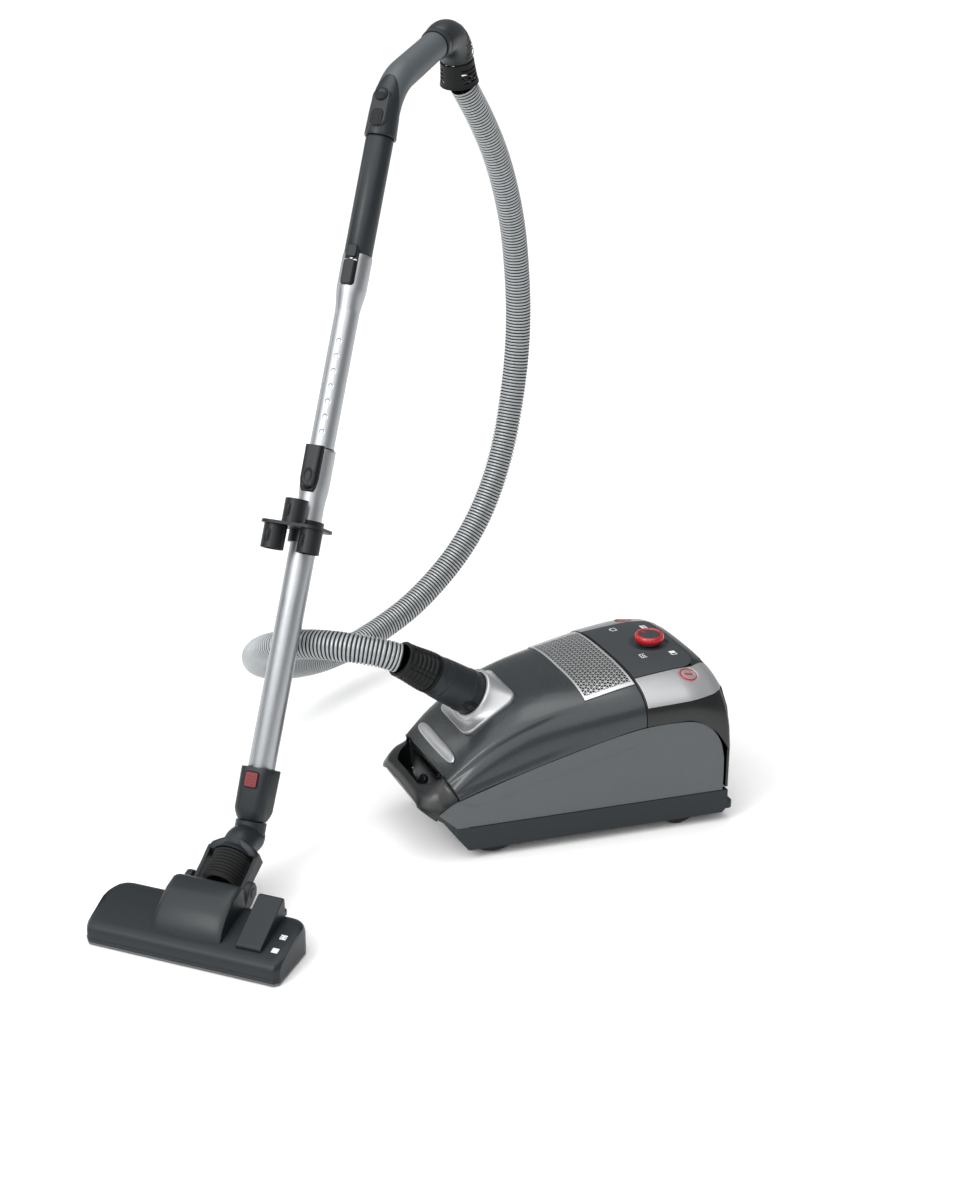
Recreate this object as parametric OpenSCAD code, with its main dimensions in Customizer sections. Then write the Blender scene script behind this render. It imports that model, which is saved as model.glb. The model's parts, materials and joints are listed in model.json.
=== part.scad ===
// Bagged canister vacuum cleaner with hose, bent handle, telescopic wand and
// floor nozzle. Millimetres, +Z up, canister nose towards -Y, floor at z = 0.

/* [Canister] */
// Half width of the flank at the nose end
flank_front = 94; // [90:1:100]
// Half width of the flank at the rear end
flank_rear = 139; // [134:1:144]
// Wall thickness of the outer shells
shell_t = 3; // [2:0.5:4]
// Radius of each rear wheel
wheel_r = 30; // [26:1:32]

/* [Wand] */
// Lean of the wand from upright, degrees
wand_tilt = 29.5; // [26:0.5:32]
// Radius of the outer (lower) tube
lower_tube_r = 17.5; // [17:0.5:18]
// Radius of the inner (upper) tube
upper_tube_r = 16; // [15.5:0.1:16]
// Radius of the accessory stubs
stub_r = 15; // [13:0.5:15.5]
// Length of each accessory stub
stub_len = 32; // [25:1:36]

/* [Handle] */
// Radius of the handle pipe
pipe_r = 18.5; // [17.5:0.5:19]
// Radius of the lighter grip
grip_r = 19.5; // [19:0.5:21]
// Bend radius of the grip
grip_bend = 90; // [80:5:100]
// Bend of the grip, degrees
grip_turn = 50; // [46:1:52]
// Straight length of the grip after its bend
grip_run = 138; // [130:1:142]
// Bend radius of the hose elbow
elbow_bend = 50; // [48:1:54]

/* [Nozzle] */
// Width of the floor nozzle
head_w = 265; // [250:5:280]
// Depth of the floor nozzle, front to back
head_d = 95; // [90:1:98]
// Height of the nozzle at its rear
head_h = 42; // [40:1:44]

/* [Hose] */
// Outer radius of the hose
hose_r = 19.5; // [18:0.5:20]

/* [Hidden] */
$fn = 64;
eps = 0.01;
gap = 0.5;

// Places of the three assemblies. The shift puts the whole object over the origin.
frame_shift = [116.6, 226, 0];
nozzle_at = [177.6, -576.6, 0];
nozzle_yaw = 45;
wand_root = [0, 200, 94];
hinge_at = [0, 110, 49.2];
neck_tilt = 63;

// Canister surface: an arched section whose width, crown and lower edge follow y.
nose_y = -218;
lid_front_y = -170;
seam_y = 85;
rear_y = 209;
tray_top = 48;
arch_power = 3;
crown_y = [-218, -196, -170, -145, -105, -65, -20, 20, 85, 150, 182, 196, 204, 209];
crown_z = [84, 102, 128, 152, 180, 198, 207, 211, 216.4, 218, 217, 213, 206, 192];
hem_y = [-218, -205, -170, -80, 31, 90, 142, 182, 196, 209];
hem_z = [76, 74, 91, 120, 150, 161, 162, 141, 122, 100];

// Inlet axis through the lid, pointing out towards the hose.
inlet_at = [0, -108, 190];
inlet_lean = 55;
inlet_dir = [0, -sin(inlet_lean), cos(inlet_lean)];
inlet_r = 30;

// Route of the hose centre line, from the cuff at the canister to the handle guard.
hose_route = [
    [0, -215, 265], [-8, -239, 274], [-27, -274, 280], [-52, -303, 279], [-84, -327, 270],
    [-128, -344, 251], [-178, -347, 223], [-225, -340, 193], [-269, -324, 163], [-310, -300, 135],
    [-348, -267, 110], [-381, -228, 90], [-412, -182, 76], [-440, -126, 73], [-463, -69, 82],
    [-481, -12, 102], [-497, 39, 131], [-511, 86, 169], [-526, 127, 215], [-541, 160, 269],
    [-554, 184, 327], [-565, 201, 389], [-571, 212, 456], [-572, 215, 526], [-566, 209, 598],
    [-553, 196, 666], [-535, 175, 732], [-516, 149, 792], [-496, 117, 848], [-476, 80, 903]
];
hose_sides = 12;
hose_wall = 3;

// ---------- shared shapes ----------

// Straight-line lookup of a value along a list of stations.
function along(x, xs, ys) = lookup(x, [for (i = [0:len(xs) - 1]) [xs[i], ys[i]]]);
function crown(y) = along(y, crown_y, crown_z);
function hem(y) = along(y, hem_y, hem_z);
function flank(y) = min(
    flank_front + (flank_rear - flank_front) * (y + 155) / 353,
    58 + sqrt(max(0, y - nose_y)) * 6.2
);

// Point of the arched section at angle a (0 near side, 180 far side), moved out by off.
function arch_point(y, a, off, low) =
    let (
        c = cos(a),
        s = sin(a),
        half = flank(y) + off,
        rise = crown(y) + off - low
    )
    [
        half * sign(c) * pow(abs(c), 2 / arch_power),
        y,
        low + rise * pow(abs(s), 2 / arch_power)
    ];

// Closed band of the arch between two angles, from offset lo to offset hi.
function arch_ring(y, a0, a1, lo, hi, steps) = concat(
    [for (i = [0:steps]) arch_point(y, a0 + (a1 - a0) * i / steps, hi, hem(y))],
    [for (i = [steps:-1:0]) arch_point(y, a0 + (a1 - a0) * i / steps, lo, hem(y))]
);

// Skins equal-sized rings of points into one closed solid.
module skin(rings) {
    n = len(rings[0]);
    points = [for (ring = rings) for (p = ring) p];
    sides = [
        for (r = [0:len(rings) - 2])
            for (i = [0:n - 1])
                let (j = (i + 1) % n)
                    [r * n + i, r * n + j, (r + 1) * n + j, (r + 1) * n + i]
    ];
    first_cap = [[for (i = [n - 1:-1:0]) i]];
    last_cap = [[for (i = [0:n - 1]) (len(rings) - 1) * n + i]];
    polyhedron(points, concat(sides, first_cap, last_cap), convexity = 6);
}

// Band of the canister surface over the stations ys, its ends closed strip by strip.
module body_band(ys, a0 = 0, a1 = 180, lo = -shell_t, hi = 0, steps = 24) {
    n = 2 * steps + 2;
    last = (len(ys) - 1) * n;
    points = [for (y = ys) each arch_ring(y, a0, a1, lo, hi, steps)];
    sides = [
        for (r = [0:len(ys) - 2])
            for (i = [0:n - 1])
                let (j = (i + 1) % n)
                    [r * n + i, r * n + j, (r + 1) * n + j, (r + 1) * n + i]
    ];
    first_cap = [for (i = [0:steps - 1]) [n - 1 - i, n - 2 - i, i + 1, i]];
    last_cap = [for (i = [0:steps - 1]) [last + i, last + i + 1, last + n - 2 - i, last + n - 1 - i]];
    polyhedron(points, concat(sides, first_cap, last_cap), convexity = 6);
}

// Extrudes a side profile, drawn as (y, z), across the width w centred on x = 0.
module across(w) {
    rotate([90, 0, 90])
        linear_extrude(w, center = true)
            children();
}

// Round bar or tube along y.
module y_cylinder(r, length) {
    rotate([-90, 0, 0])
        cylinder(r = r, h = length);
}

// Round bar along x, centred.
module x_cylinder(r, length) {
    rotate([0, 90, 0])
        cylinder(r = r, h = length, center = true);
}

module tube(r, wall, length) {
    difference() {
        cylinder(r = r, h = length);
        translate([0, 0, -1])
            cylinder(r = r - wall, h = length + 2);
    }
}

module rounded_block(size, r) {
    linear_extrude(size[2])
        translate([r - size[0] / 2, r - size[1] / 2])
            rounded_square([size[0] - 2 * r, size[1] - 2 * r], r);
}

// Rectangle with round corners, drawn from plain squares and circles.
module rounded_square(inner, r) {
    union() {
        translate([-r, 0])
            square([inner[0] + 2 * r, inner[1]]);
        translate([0, -r])
            square([inner[0], inner[1] + 2 * r]);
        for (x = [0, inner[0]])
            for (y = [0, inner[1]])
                translate([x, y])
                    circle(r);
    }
}

// ---------- placing ----------

module on_canister() {
    translate(frame_shift)
        children();
}

module on_nozzle() {
    on_canister()
        translate(nozzle_at)
            rotate([0, 0, nozzle_yaw])
                children();
}

// Frame of the wand: z runs up the tube, y points back.
module on_wand() {
    on_nozzle()
        translate(wand_root)
            rotate([-wand_tilt, 0, 0])
                children();
}

// Frame of the neck: z runs up the neck from the tilt hinge.
module on_neck() {
    on_nozzle()
        translate(hinge_at)
            rotate([-neck_tilt, 0, 0])
                children();
}

// Frame of the inlet: z runs out of the lid towards the hose.
module on_inlet() {
    on_canister()
        translate(inlet_at)
            rotate([inlet_lean, 0, 0])
                children();
}

// Puts children on both sides of the centre plane.
module both_sides() {
    children();
    mirror([1, 0, 0])
        children();
}

// ---------- canister: outer shells ----------

wheel_y = 143;
wheel_x = 114;
wheel_w = 18;
caster_x = 66;
caster_y = -116;
caster_trail = 13;
caster_turn = 135;
caster_r = 13;
caster_cup_r = 28;
tray_bottom = 14;

// Plan outline of the tray, moved in by inset.
module tray_plan(inset) {
    polygon([
        [62 - inset, -182 + inset],
        [flank_front - 8 - inset, -170 + inset],
        [flank_front - inset, -155 + inset],
        [flank_rear + 0.8 - inset, 205 - inset],
        [-flank_rear - 0.8 + inset, 205 - inset],
        [-flank_front + inset, -155 + inset],
        [-flank_front + 8 + inset, -170 + inset],
        [-62 + inset, -182 + inset]
    ]);
}

module tray_block(inset, lift) {
    intersection() {
        linear_extrude(tray_top)
            tray_plan(inset);
        across(300)
            polygon([
                [-158 + inset, tray_bottom + lift],
                [198 - inset, tray_bottom + lift],
                [206 - inset, tray_bottom + 8 + lift],
                [206 - inset, tray_top + lift],
                [-184 + inset, tray_top + lift]
            ]);
    }
}

module chassis_tray() {
    color([0.16, 0.18, 0.19])
        on_canister()
            difference() {
                union() {
                    difference() {
                        tray_block(0, 0);
                        tray_block(shell_t, shell_t);
                    }
                    both_sides() {
                        translate([caster_x, caster_y, tray_bottom])
                            cylinder(r = caster_cup_r + 2, h = 20);
                        for (x = [wheel_x - wheel_w / 2 - 5, wheel_x + wheel_w / 2 + 1])
                            translate([x, wheel_y - 8, tray_bottom + 2])
                                cube([4, 16, 26]);
                    }
                    translate([0, 60, tray_bottom + 1])
                        cylinder(r = 8, h = 12);
                }
                both_sides() {
                    translate([caster_x, caster_y, tray_bottom - 1])
                        cylinder(r = caster_cup_r, h = 18);
                    translate([caster_x, caster_y, tray_bottom])
                        cylinder(r = 4.05, h = 30);
                    translate([wheel_x - wheel_w / 2 - 1, wheel_y - wheel_r - 2, 10])
                        cube([wheel_w + 2, 2 * wheel_r + 4, 10]);
                    translate([wheel_x, wheel_y, wheel_r])
                        x_cylinder(4, wheel_w + 12);
                }
            }
}

recess_x = 58;

// Parting line between the lid and the front piece; it leans forward so the lid can swing.
function parting_y(z) = lid_front_y + 0.4 - 0.5 * (z - 91);

// Moves a point in behind the inner face of the flank panel.
function tucked(p) = [
    sign(p[0]) * min(abs(p[0]), flank_front - 3.8 + 0.1275 * (p[1] + 155)), p[1], p[2]
];

module front_bezel() {
    stations = [nose_y, -213, -205, -196, -184, lid_front_y - gap];
    color([0.20, 0.22, 0.23])
        on_canister()
            difference() {
                skin([
                    for (y = stations)
                        let (low = max(tray_top + gap, 76 - (y - nose_y) * 0.75))
                            [for (a = [0:12:180]) tucked(arch_point(y, a, 0, low))]
                ]);
                across(2 * recess_x)
                    polygon([
                        [-206, 125], [-199, 76], [-186, 62], [lid_front_y + 5, 56],
                        [lid_front_y + 5, 160], [-206, 160]
                    ]);
                across(400)
                    polygon([
                        [parting_y(200) - 0.8, 200], [-100, 200], [-100, 80], [parting_y(80) - 0.8, 80]
                    ]);
            }
}

// Outline of the grey flank panel along the flared side, as (y, z).
module panel_outline() {
    polygon([
        [-173, tray_top + gap], [-199, 71], [-171, 88], [-80, 118.5], [31, 148.5], [88, 159.5],
        [140, 160.5], [168, 145.5], [184, 137], [195, 121], [200, 100], [201, tray_top + gap]
    ]);
}

module side_panel() {
    flare = atan((flank_rear - flank_front) / 353);
    translate([flank_front - 0.4, -155, 0])
        rotate([0, 0, -flare])
            translate([-shell_t, 155, 0])
                rotate([90, 0, 90])
                    linear_extrude(shell_t)
                        panel_outline();
}

module side_panel_near() {
    color([0.37, 0.39, 0.40])
        on_canister()
            side_panel();
}

module side_panel_far() {
    color([0.37, 0.39, 0.40])
        on_canister()
            mirror([1, 0, 0])
                side_panel();
}

knob_at = [0, 152];
button_at = [94, 161];

module rear_cover() {
    color([0.13, 0.15, 0.16])
        on_canister()
            difference() {
                body_band([seam_y + gap, 90, 142, 150, 182, 196, 204]);
                translate([knob_at[0], knob_at[1], 190])
                    cylinder(r = 6, h = 60);
                both_sides()
                    on_button()
                        cylinder(r = 13, h = 60, center = true);
                translate([0, hinge_y, hinge_z])
                    x_cylinder(2.2, 150);
            }
}

module rear_wall() {
    color([0.13, 0.15, 0.16])
        on_canister()
            difference() {
                translate([0, 204 + gap, 0])
                    rotate([90, 0, 0])
                        mirror([0, 0, 1])
                            linear_extrude(4.5)
                                polygon([
                                    [-133, tray_top + gap], [133, tray_top + gap], [133, 110],
                                    [129, 138], [120, 165], [103, 186], [70, 198], [0, 203],
                                    [-70, 198], [-103, 186], [-120, 165], [-129, 138], [-133, 110]
                                ]);
                translate([-72, 190, 92])
                    cube([144, 30, 66]);
                translate([95, 190, 66])
                    y_cylinder(8, 30);
            }
}

module exhaust_grille() {
    color([0.15, 0.16, 0.17])
        on_canister()
            difference() {
                translate([-71.5, 205, 92.5])
                    cube([143, 6, 65]);
                for (i = [0:6])
                    translate([-64, 195, 98 + i * 8.2])
                        cube([128, 20, 4.6]);
            }
}

module exhaust_filter() {
    color([0.85, 0.85, 0.82])
        on_canister()
            translate([-66, 192, 94])
                cube([132, 11, 60]);
}

module rear_bumper() {
    color([0.12, 0.13, 0.14])
        on_canister()
            difference() {
                translate([-flank_rear + 2, 205 + gap, 16])
                    cube([2 * flank_rear - 4, 8.5, 14]);
                translate([-14, 200, 10])
                    cube([28, 30, 12]);
            }
}

panel_a = 63;

module control_panel() {
    color([0.27, 0.29, 0.31])
        on_canister()
            difference() {
                body_band([88, 90, 142, 150, 180], panel_a, 180 - panel_a, 0.2, 1.6, 16);
                translate([knob_at[0], knob_at[1], 190])
                    cylinder(r = 6, h = 60);
            }
}

module silver_frame() {
    color([0.66, 0.66, 0.66])
        on_canister()
            difference() {
                body_band([88, 90, 142, 150, 182, 190], 13, 167, 0.2, 1.6, 24);
                translate([0, 0, 150])
                    linear_extrude(100)
                        polygon([[-76, 80], [76, 80], [83, 183], [-83, 183]]);
                both_sides()
                    on_button()
                        cylinder(r = 13.5, h = 60, center = true);
            }
}

module circuit_board() {
    color([0.10, 0.34, 0.20])
        on_canister()
            translate([-55, 112, 196])
                difference() {
                    cube([110, 60, 1.6]);
                    translate([55, knob_at[1] - 112, -1])
                        cylinder(r = 6, h = 5);
                }
}

module cord_outlet() {
    color([0.10, 0.11, 0.12])
        on_canister()
            translate([95, 200, 66])
                difference() {
                    union() {
                        y_cylinder(7.9, 10);
                        translate([0, 9.6, 0])
                            y_cylinder(11, 2.4);
                    }
                    translate([0, -1, 0])
                        y_cylinder(4.5, 20);
                }
}

// ---------- canister: inside ----------

module bag_tub() {
    color([0.22, 0.24, 0.25])
        on_canister()
            difference() {
                translate([-76, -148, 36])
                    cube([152, 152, 70]);
                translate([-73.5, -145.5, 39])
                    cube([147, 147, 80]);
                translate([0, -10, 72])
                    y_cylinder(26, 30);
                both_sides()
                    translate([caster_x, caster_y, 20])
                        cylinder(r = caster_cup_r + 3, h = 17);
            }
}

module dust_bag() {
    color([0.92, 0.90, 0.84])
        on_canister()
            hull()
                for (x = [-44, 44])
                    for (y = [-116, -34])
                        for (z = [62, 104])
                            translate([x, y, z])
                                sphere(r = 22, $fn = 20);
}

motor_z = 104;

module motor_filter() {
    color([0.80, 0.82, 0.84])
        on_canister()
            translate([-62, 6, 52])
                cube([124, 9, 92]);
}

module motor_housing() {
    color([0.30, 0.31, 0.32])
        on_canister()
            translate([0, 26, motor_z])
                difference() {
                    union() {
                        y_cylinder(54, 34);
                        y_cylinder(44, 88);
                    }
                    translate([0, 3, 0])
                        y_cylinder(50, 28);
                    translate([0, 5, 0])
                        y_cylinder(40, 80);
                    translate([0, -1, 0])
                        y_cylinder(22, 10);
                    translate([0, 80, 0])
                        y_cylinder(5.05, 12);
                }
}

mount_foot = tray_bottom + shell_t + 0.4;

module motor_mounts() {
    color([0.08, 0.08, 0.09])
        on_canister() {
            translate([0, 18, motor_z])
                difference() {
                    y_cylinder(40, 8);
                    translate([0, -1, 0])
                        y_cylinder(24, 12);
                }
            translate([-30, 70, mount_foot])
                cube([60, 18, motor_z - 46 - mount_foot]);
        }
}

module motor_rotor() {
    color([0.62, 0.50, 0.34])
        on_canister()
            translate([0, 32, motor_z]) {
                difference() {
                    y_cylinder(46, 16);
                    translate([0, -1, 0])
                        for (k = [0:8])
                            rotate([0, k * 40, 0])
                                translate([26, 0, -2.5])
                                    cube([24, 14, 5]);
                }
                y_cylinder(24, 70);
                y_cylinder(5, 80);
            }
}

reel_y = 128;

module cord_reel() {
    color([0.55, 0.56, 0.58])
        on_canister()
            translate([0, reel_y, motor_z])
                difference() {
                    union() {
                        y_cylinder(56, 2.5);
                        y_cylinder(26, 38);
                        translate([0, 35.5, 0])
                            y_cylinder(56, 2.5);
                    }
                    translate([0, -1, 0])
                        y_cylinder(8.05, 60);
                }
}

module reel_stand() {
    color([0.18, 0.19, 0.20])
        on_canister() {
            translate([0, reel_y - 8, motor_z])
                y_cylinder(8, 54);
            translate([-30, reel_y - 12, tray_bottom + shell_t])
                cube([60, 5, motor_z - tray_bottom - shell_t + 12]);
            translate([-30, reel_y + 42, tray_bottom + shell_t])
                cube([60, 4, motor_z - tray_bottom - shell_t + 12]);
        }
}

// ---------- wheels ----------

module axle_pins() {
    color([0.70, 0.71, 0.72])
        on_canister()
            both_sides()
                translate([wheel_x, wheel_y, wheel_r])
                    x_cylinder(4, wheel_w + 10);
}

module rear_wheel() {
    translate([wheel_x, wheel_y, wheel_r])
        difference() {
            union() {
                x_cylinder(wheel_r, wheel_w - 6);
                x_cylinder(wheel_r - 2.5, wheel_w);
            }
            x_cylinder(4.06, wheel_w + 2);
        }
}

module rear_wheel_near() {
    color([0.12, 0.12, 0.13])
        on_canister()
            rear_wheel();
}

module rear_wheel_far() {
    color([0.12, 0.12, 0.13])
        on_canister()
            mirror([1, 0, 0])
                rear_wheel();
}

module caster_fork() {
    translate([caster_x, caster_y, 0])
        rotate([0, 0, -caster_turn]) {
            difference() {
                union() {
                    translate([0, 0, 27])
                        cylinder(r = 17, h = 3);
                    for (x = [-12, 9])
                        translate([x, caster_trail - 7, 6])
                            cube([3, 14, 22]);
                }
                translate([0, caster_trail, caster_r])
                    x_cylinder(2.04, 40);
            }
            translate([0, 0, 29])
                cylinder(r = 4, h = 6.5);
        }
}

module caster_wheel() {
    translate([caster_x, caster_y, 0])
        rotate([0, 0, -caster_turn])
            translate([0, caster_trail, caster_r]) {
                x_cylinder(caster_r, 16);
                x_cylinder(2, 24);
            }
}

module caster_fork_near() {
    color([0.14, 0.15, 0.16])
        on_canister()
            caster_fork();
}

module caster_fork_far() {
    color([0.14, 0.15, 0.16])
        on_canister()
            mirror([1, 0, 0])
                caster_fork();
}

module caster_wheel_near() {
    color([0.10, 0.10, 0.11])
        on_canister()
            caster_wheel();
}

module caster_wheel_far() {
    color([0.10, 0.10, 0.11])
        on_canister()
            mirror([1, 0, 0])
                caster_wheel();
}

// ---------- controls on the canister ----------

knob_r = 20;
knob_z = 220.5;

module knob_ring() {
    color([0.78, 0.14, 0.20])
        on_canister()
            translate([knob_at[0], knob_at[1], knob_z])
                difference() {
                    union() {
                        cylinder(r = knob_r - 3, h = 3);
                        translate([0, 0, 3])
                            cylinder(r = knob_r, h = 10);
                    }
                    translate([0, 0, 9])
                        cylinder(r = knob_r - 4, h = 8);
                    translate([0, 0, -1])
                        cylinder(r = 5, h = 20);
                }
}

module knob_cap() {
    color([0.24, 0.25, 0.27])
        on_canister()
            translate([knob_at[0], knob_at[1], 0]) {
                translate([0, 0, knob_z + 9])
                    cylinder(r = knob_r - 4, h = 6);
                translate([0, 0, 202])
                    cylinder(r = 5, h = knob_z - 202 + 9);
            }
}

button_lean = 17;

// Frame of a press button on the silver frame, z along its travel outwards.
module on_button() {
    translate([button_at[0], button_at[1], 208.5])
        rotate([-8, button_lean, 0])
            children();
}

module press_button() {
    on_button() {
        translate([0, 0, -2.5])
            cylinder(r = 12.5, h = 3.7);
        translate([0, 0, -20])
            cylinder(r = 8, h = 18);
    }
}

module power_button() {
    color([0.72, 0.72, 0.73])
        on_canister()
            press_button();
}

module rewind_button() {
    color([0.72, 0.72, 0.73])
        on_canister()
            mirror([1, 0, 0])
                press_button();
}

// ---------- lid ----------

hinge_y = 85.25;
hinge_z = 214.7;

module lid_shell() {
    stations = [
        -196, -183, lid_front_y, -158, -145, -125, -105, -80, -65, -40, -20, 20, 31, 55, seam_y
    ];
    color([0.22, 0.25, 0.26])
        difference() {
            on_canister()
                union() {
                    body_band(stations);
                    across(179)
                        polygon([
                            [parting_y(100), 100], [parting_y(93), 93], [parting_y(93) + 3, 93],
                            [parting_y(100) + 3, 100]
                        ]);
                }
            on_canister()
                across(400)
                    polygon([
                        [-260, 40], [-260, 200], [parting_y(200), 200], [parting_y(40), 40]
                    ]);
            on_inlet_plate()
                translate([0, 0, -24])
                    rounded_block([plate_w + 1, plate_l + 1, 48], 14.5);
            on_canister()
                translate([0, hinge_y, hinge_z])
                    x_cylinder(1.5, 58);
        }
}

module lid_grille() {
    color([0.74, 0.74, 0.74])
        on_canister()
            body_band([12, 20, 31, 65, seam_y - 1], 45, 135, 0.2, 1.6, 16);
}

plate_w = 94;
plate_l = 86;

// Frame of the flared foot of the surround, lying on the slope of the lid.
module on_inlet_plate() {
    on_canister()
        translate([0, -106, 181])
            rotate([31, 0, 0])
                children();
}

module inlet_surround() {
    color([0.72, 0.73, 0.73])
        difference() {
            union() {
                on_inlet()
                    translate([0, 0, -22])
                        cylinder(r = inlet_r + 4.6, h = 28);
                hull() {
                    on_inlet()
                        translate([0, 0, 5])
                            cylinder(r = inlet_r + 6, h = 3, $fn = 32);
                    on_inlet_plate()
                        translate([0, 0, -3])
                            rounded_block([plate_w, plate_l, 4], 14, $fn = 32);
                }
            }
            on_inlet()
                translate([0, 0, -40])
                    cylinder(r = inlet_r + 0.06, h = 80);
        }
}

module lid_latch() {
    color([0.76, 0.76, 0.76])
        on_canister()
            body_band([-178, -174, -170, -166, -162], 64, 116, 0.5, 3.5, 12);
}

module lid_hinge_pin() {
    color([0.6, 0.6, 0.6])
        on_canister()
            translate([0, hinge_y, hinge_z])
                x_cylinder(1.2, 56);
}

// ---------- hose end pieces and hose ----------

module hose_connector() {
    color([0.18, 0.20, 0.21])
        on_inlet()
            difference() {
                union() {
                    translate([0, 0, -22])
                        cylinder(r = inlet_r, h = 34);
                    translate([0, 0, 8.5])
                        cylinder(r1 = 30, r2 = 27, h = 70);
                    translate([29, -8, 14])
                        cube([5, 16, 26]);
                }
                translate([0, 0, -30])
                    cylinder(r = 23, h = 120);
            }
}

module hose_cuff() {
    color([0.12, 0.13, 0.14])
        on_inlet()
            difference() {
                union() {
                    translate([0, 0, 79])
                        cylinder(r = 26, h = 50);
                    for (k = [0:4])
                        translate([0, 0, 84 + k * 9])
                            cylinder(r = 27.5, h = 4);
                }
                translate([0, 0, 70])
                    cylinder(r = hose_r + 1, h = 70);
            }
}

function unit(v) = v / norm(v);
function tangent(path, i) = unit(path[min(i + 1, len(path) - 1)] - path[max(i - 1, 0)]);

// Point of a smooth curve through the route, t from 0 to 1 between points i and i + 1.
function route_point(path, i, t) =
    let (
        n = len(path) - 1,
        a = path[max(i - 1, 0)],
        b = path[i],
        c = path[min(i + 1, n)],
        d = path[min(i + 2, n)]
    )
    0.5 * (2 * b + (c - a) * t + (2 * a - 5 * b + 4 * c - d) * t * t
        + (3 * b - a - 3 * c + d) * t * t * t);

function ring_at(centre, dir, r, sides) =
    let (
        side = unit(cross(dir, [0.3, 1, 0.2])),
        up = cross(side, dir)
    )
    [for (k = [0:sides - 1]) centre + r * (cos(k * 360 / sides) * side + sin(k * 360 / sides) * up)];

// Closed wall between an outer and an inner tube of rings, with a flat ring at each end.
module pipe_skin(outer, inner) {
    n = len(outer[0]);
    last = len(outer) - 1;
    shift = (last + 1) * n;
    polyhedron(
        points = concat([for (ring = outer) each ring], [for (ring = inner) each ring]),
        faces = concat(
            [
                for (i = [0:last - 1]) for (k = [0:n - 1])
                    let (a = i * n + k, b = i * n + (k + 1) % n)
                        each [[a, b, b + n], [a, b + n, a + n]]
            ],
            [
                for (i = [0:last - 1]) for (k = [0:n - 1])
                    let (a = shift + i * n + k, b = shift + i * n + (k + 1) % n)
                        each [[a, b + n, b], [a, a + n, b + n]]
            ],
            [
                for (k = [0:n - 1])
                    let (a = k, b = (k + 1) % n)
                        each [[a, shift + b, b], [a, shift + a, shift + b]]
            ],
            [
                for (k = [0:n - 1])
                    let (a = last * n + k, b = last * n + (k + 1) % n)
                        each [[a, b, shift + b], [a, shift + b, shift + a]]
            ]
        )
    );
}

module hose() {
    last = len(hose_route) - 2;
    fine = concat(
        [for (i = [0:last]) for (t = [0, 0.5]) route_point(hose_route, i, t)],
        [hose_route[last + 1]]
    );
    rings = [0:len(fine) - 1];
    color([0.66, 0.67, 0.68])
        on_canister()
            pipe_skin(
                [for (i = rings) ring_at(fine[i], tangent(fine, i), hose_r, hose_sides)],
                [for (i = rings) ring_at(fine[i], tangent(fine, i), hose_r - hose_wall, hose_sides)]
            );
}

// ---------- handle ----------

sleeve_s = 900;
bend_s = 930;
socket_s = 742;

// Swept ring around a bend: starts along z, turns towards +y by the angle turn.
module bend(r_bend, turn) {
    translate([0, r_bend, 0])
        rotate([90, 0, -90])
            rotate_extrude(angle = turn)
                translate([r_bend, 0])
                    children();
}

// Frame at the end of the grip bend, and then at the end of the hose elbow.
module after_grip_bend() {
    translate([0, grip_bend * (1 - cos(grip_turn)), bend_s + grip_bend * sin(grip_turn)])
        rotate([-grip_turn, 0, 0])
            children();
}

elbow_turn = 135 - grip_turn;

module after_elbow() {
    after_grip_bend()
        translate([0, elbow_bend * (1 - cos(elbow_turn)), grip_run + elbow_bend * sin(elbow_turn)])
            rotate([-elbow_turn, 0, 0])
                children();
}

module ring_section(r, wall) {
    difference() {
        circle(r);
        circle(r - wall);
    }
}

module handle_pipe() {
    color([0.21, 0.23, 0.24])
        on_wand()
            union() {
                translate([0, 0, socket_s - 50])
                    tube(15.4, 2, 51);
                translate([0, 0, socket_s + gap])
                    tube(pipe_r, 5, sleeve_s - socket_s - 2 * gap);
            }
}

module control_sleeve() {
    color([0.19, 0.21, 0.22])
        on_wand()
            difference() {
                union() {
                    translate([0, 0, sleeve_s])
                        tube(grip_r + 2, 6, bend_s - sleeve_s);
                    translate([-9, -24, bend_s - 7])
                        cube([18, 4, 25]);
                }
                translate([-7.5, -30, sleeve_s - 1])
                    cube([15, 12.4, 23]);
                translate([0, -10, bend_s + 8])
                    rotate([90, 0, 0])
                        cylinder(r = 6.4, h = 30);
            }
}

module bypass_slide() {
    color([0.17, 0.18, 0.19])
        on_wand()
            translate([-7, -24.5, sleeve_s + 1])
                cube([14, 6.5, 14]);
}

module sleeve_button() {
    color([0.17, 0.18, 0.19])
        on_wand()
            translate([0, -21.5, bend_s + 8])
                rotate([90, 0, 0])
                    cylinder(r = 6, h = 3.8);
}

module grip() {
    color([0.36, 0.38, 0.39])
        on_wand() {
            translate([0, 0, bend_s])
                bend(grip_bend, grip_turn)
                    ring_section(grip_r, 4);
            after_grip_bend()
                tube(grip_r - 0.1, 3.8, grip_run - 25);
        }
}

module handle_elbow() {
    color([0.17, 0.18, 0.19])
        on_wand()
            union() {
                after_grip_bend()
                    translate([0, 0, grip_run - 25 + gap])
                        tube(grip_r + 2.4, 4.8, 25 - gap);
                after_grip_bend()
                    translate([0, 0, grip_run])
                        bend(elbow_bend, elbow_turn)
                            ring_section(grip_r + 2.5, 5);
            }
}

module hose_guard() {
    color([0.10, 0.11, 0.12])
        on_wand()
            after_elbow()
                difference() {
                    translate([0, 0, gap])
                        cylinder(r1 = grip_r + 3.5, r2 = grip_r + 7, h = 34 - gap);
                    cylinder(r1 = hose_r + 1.2, r2 = hose_r + 5, h = 34.1);
                }
}

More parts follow.
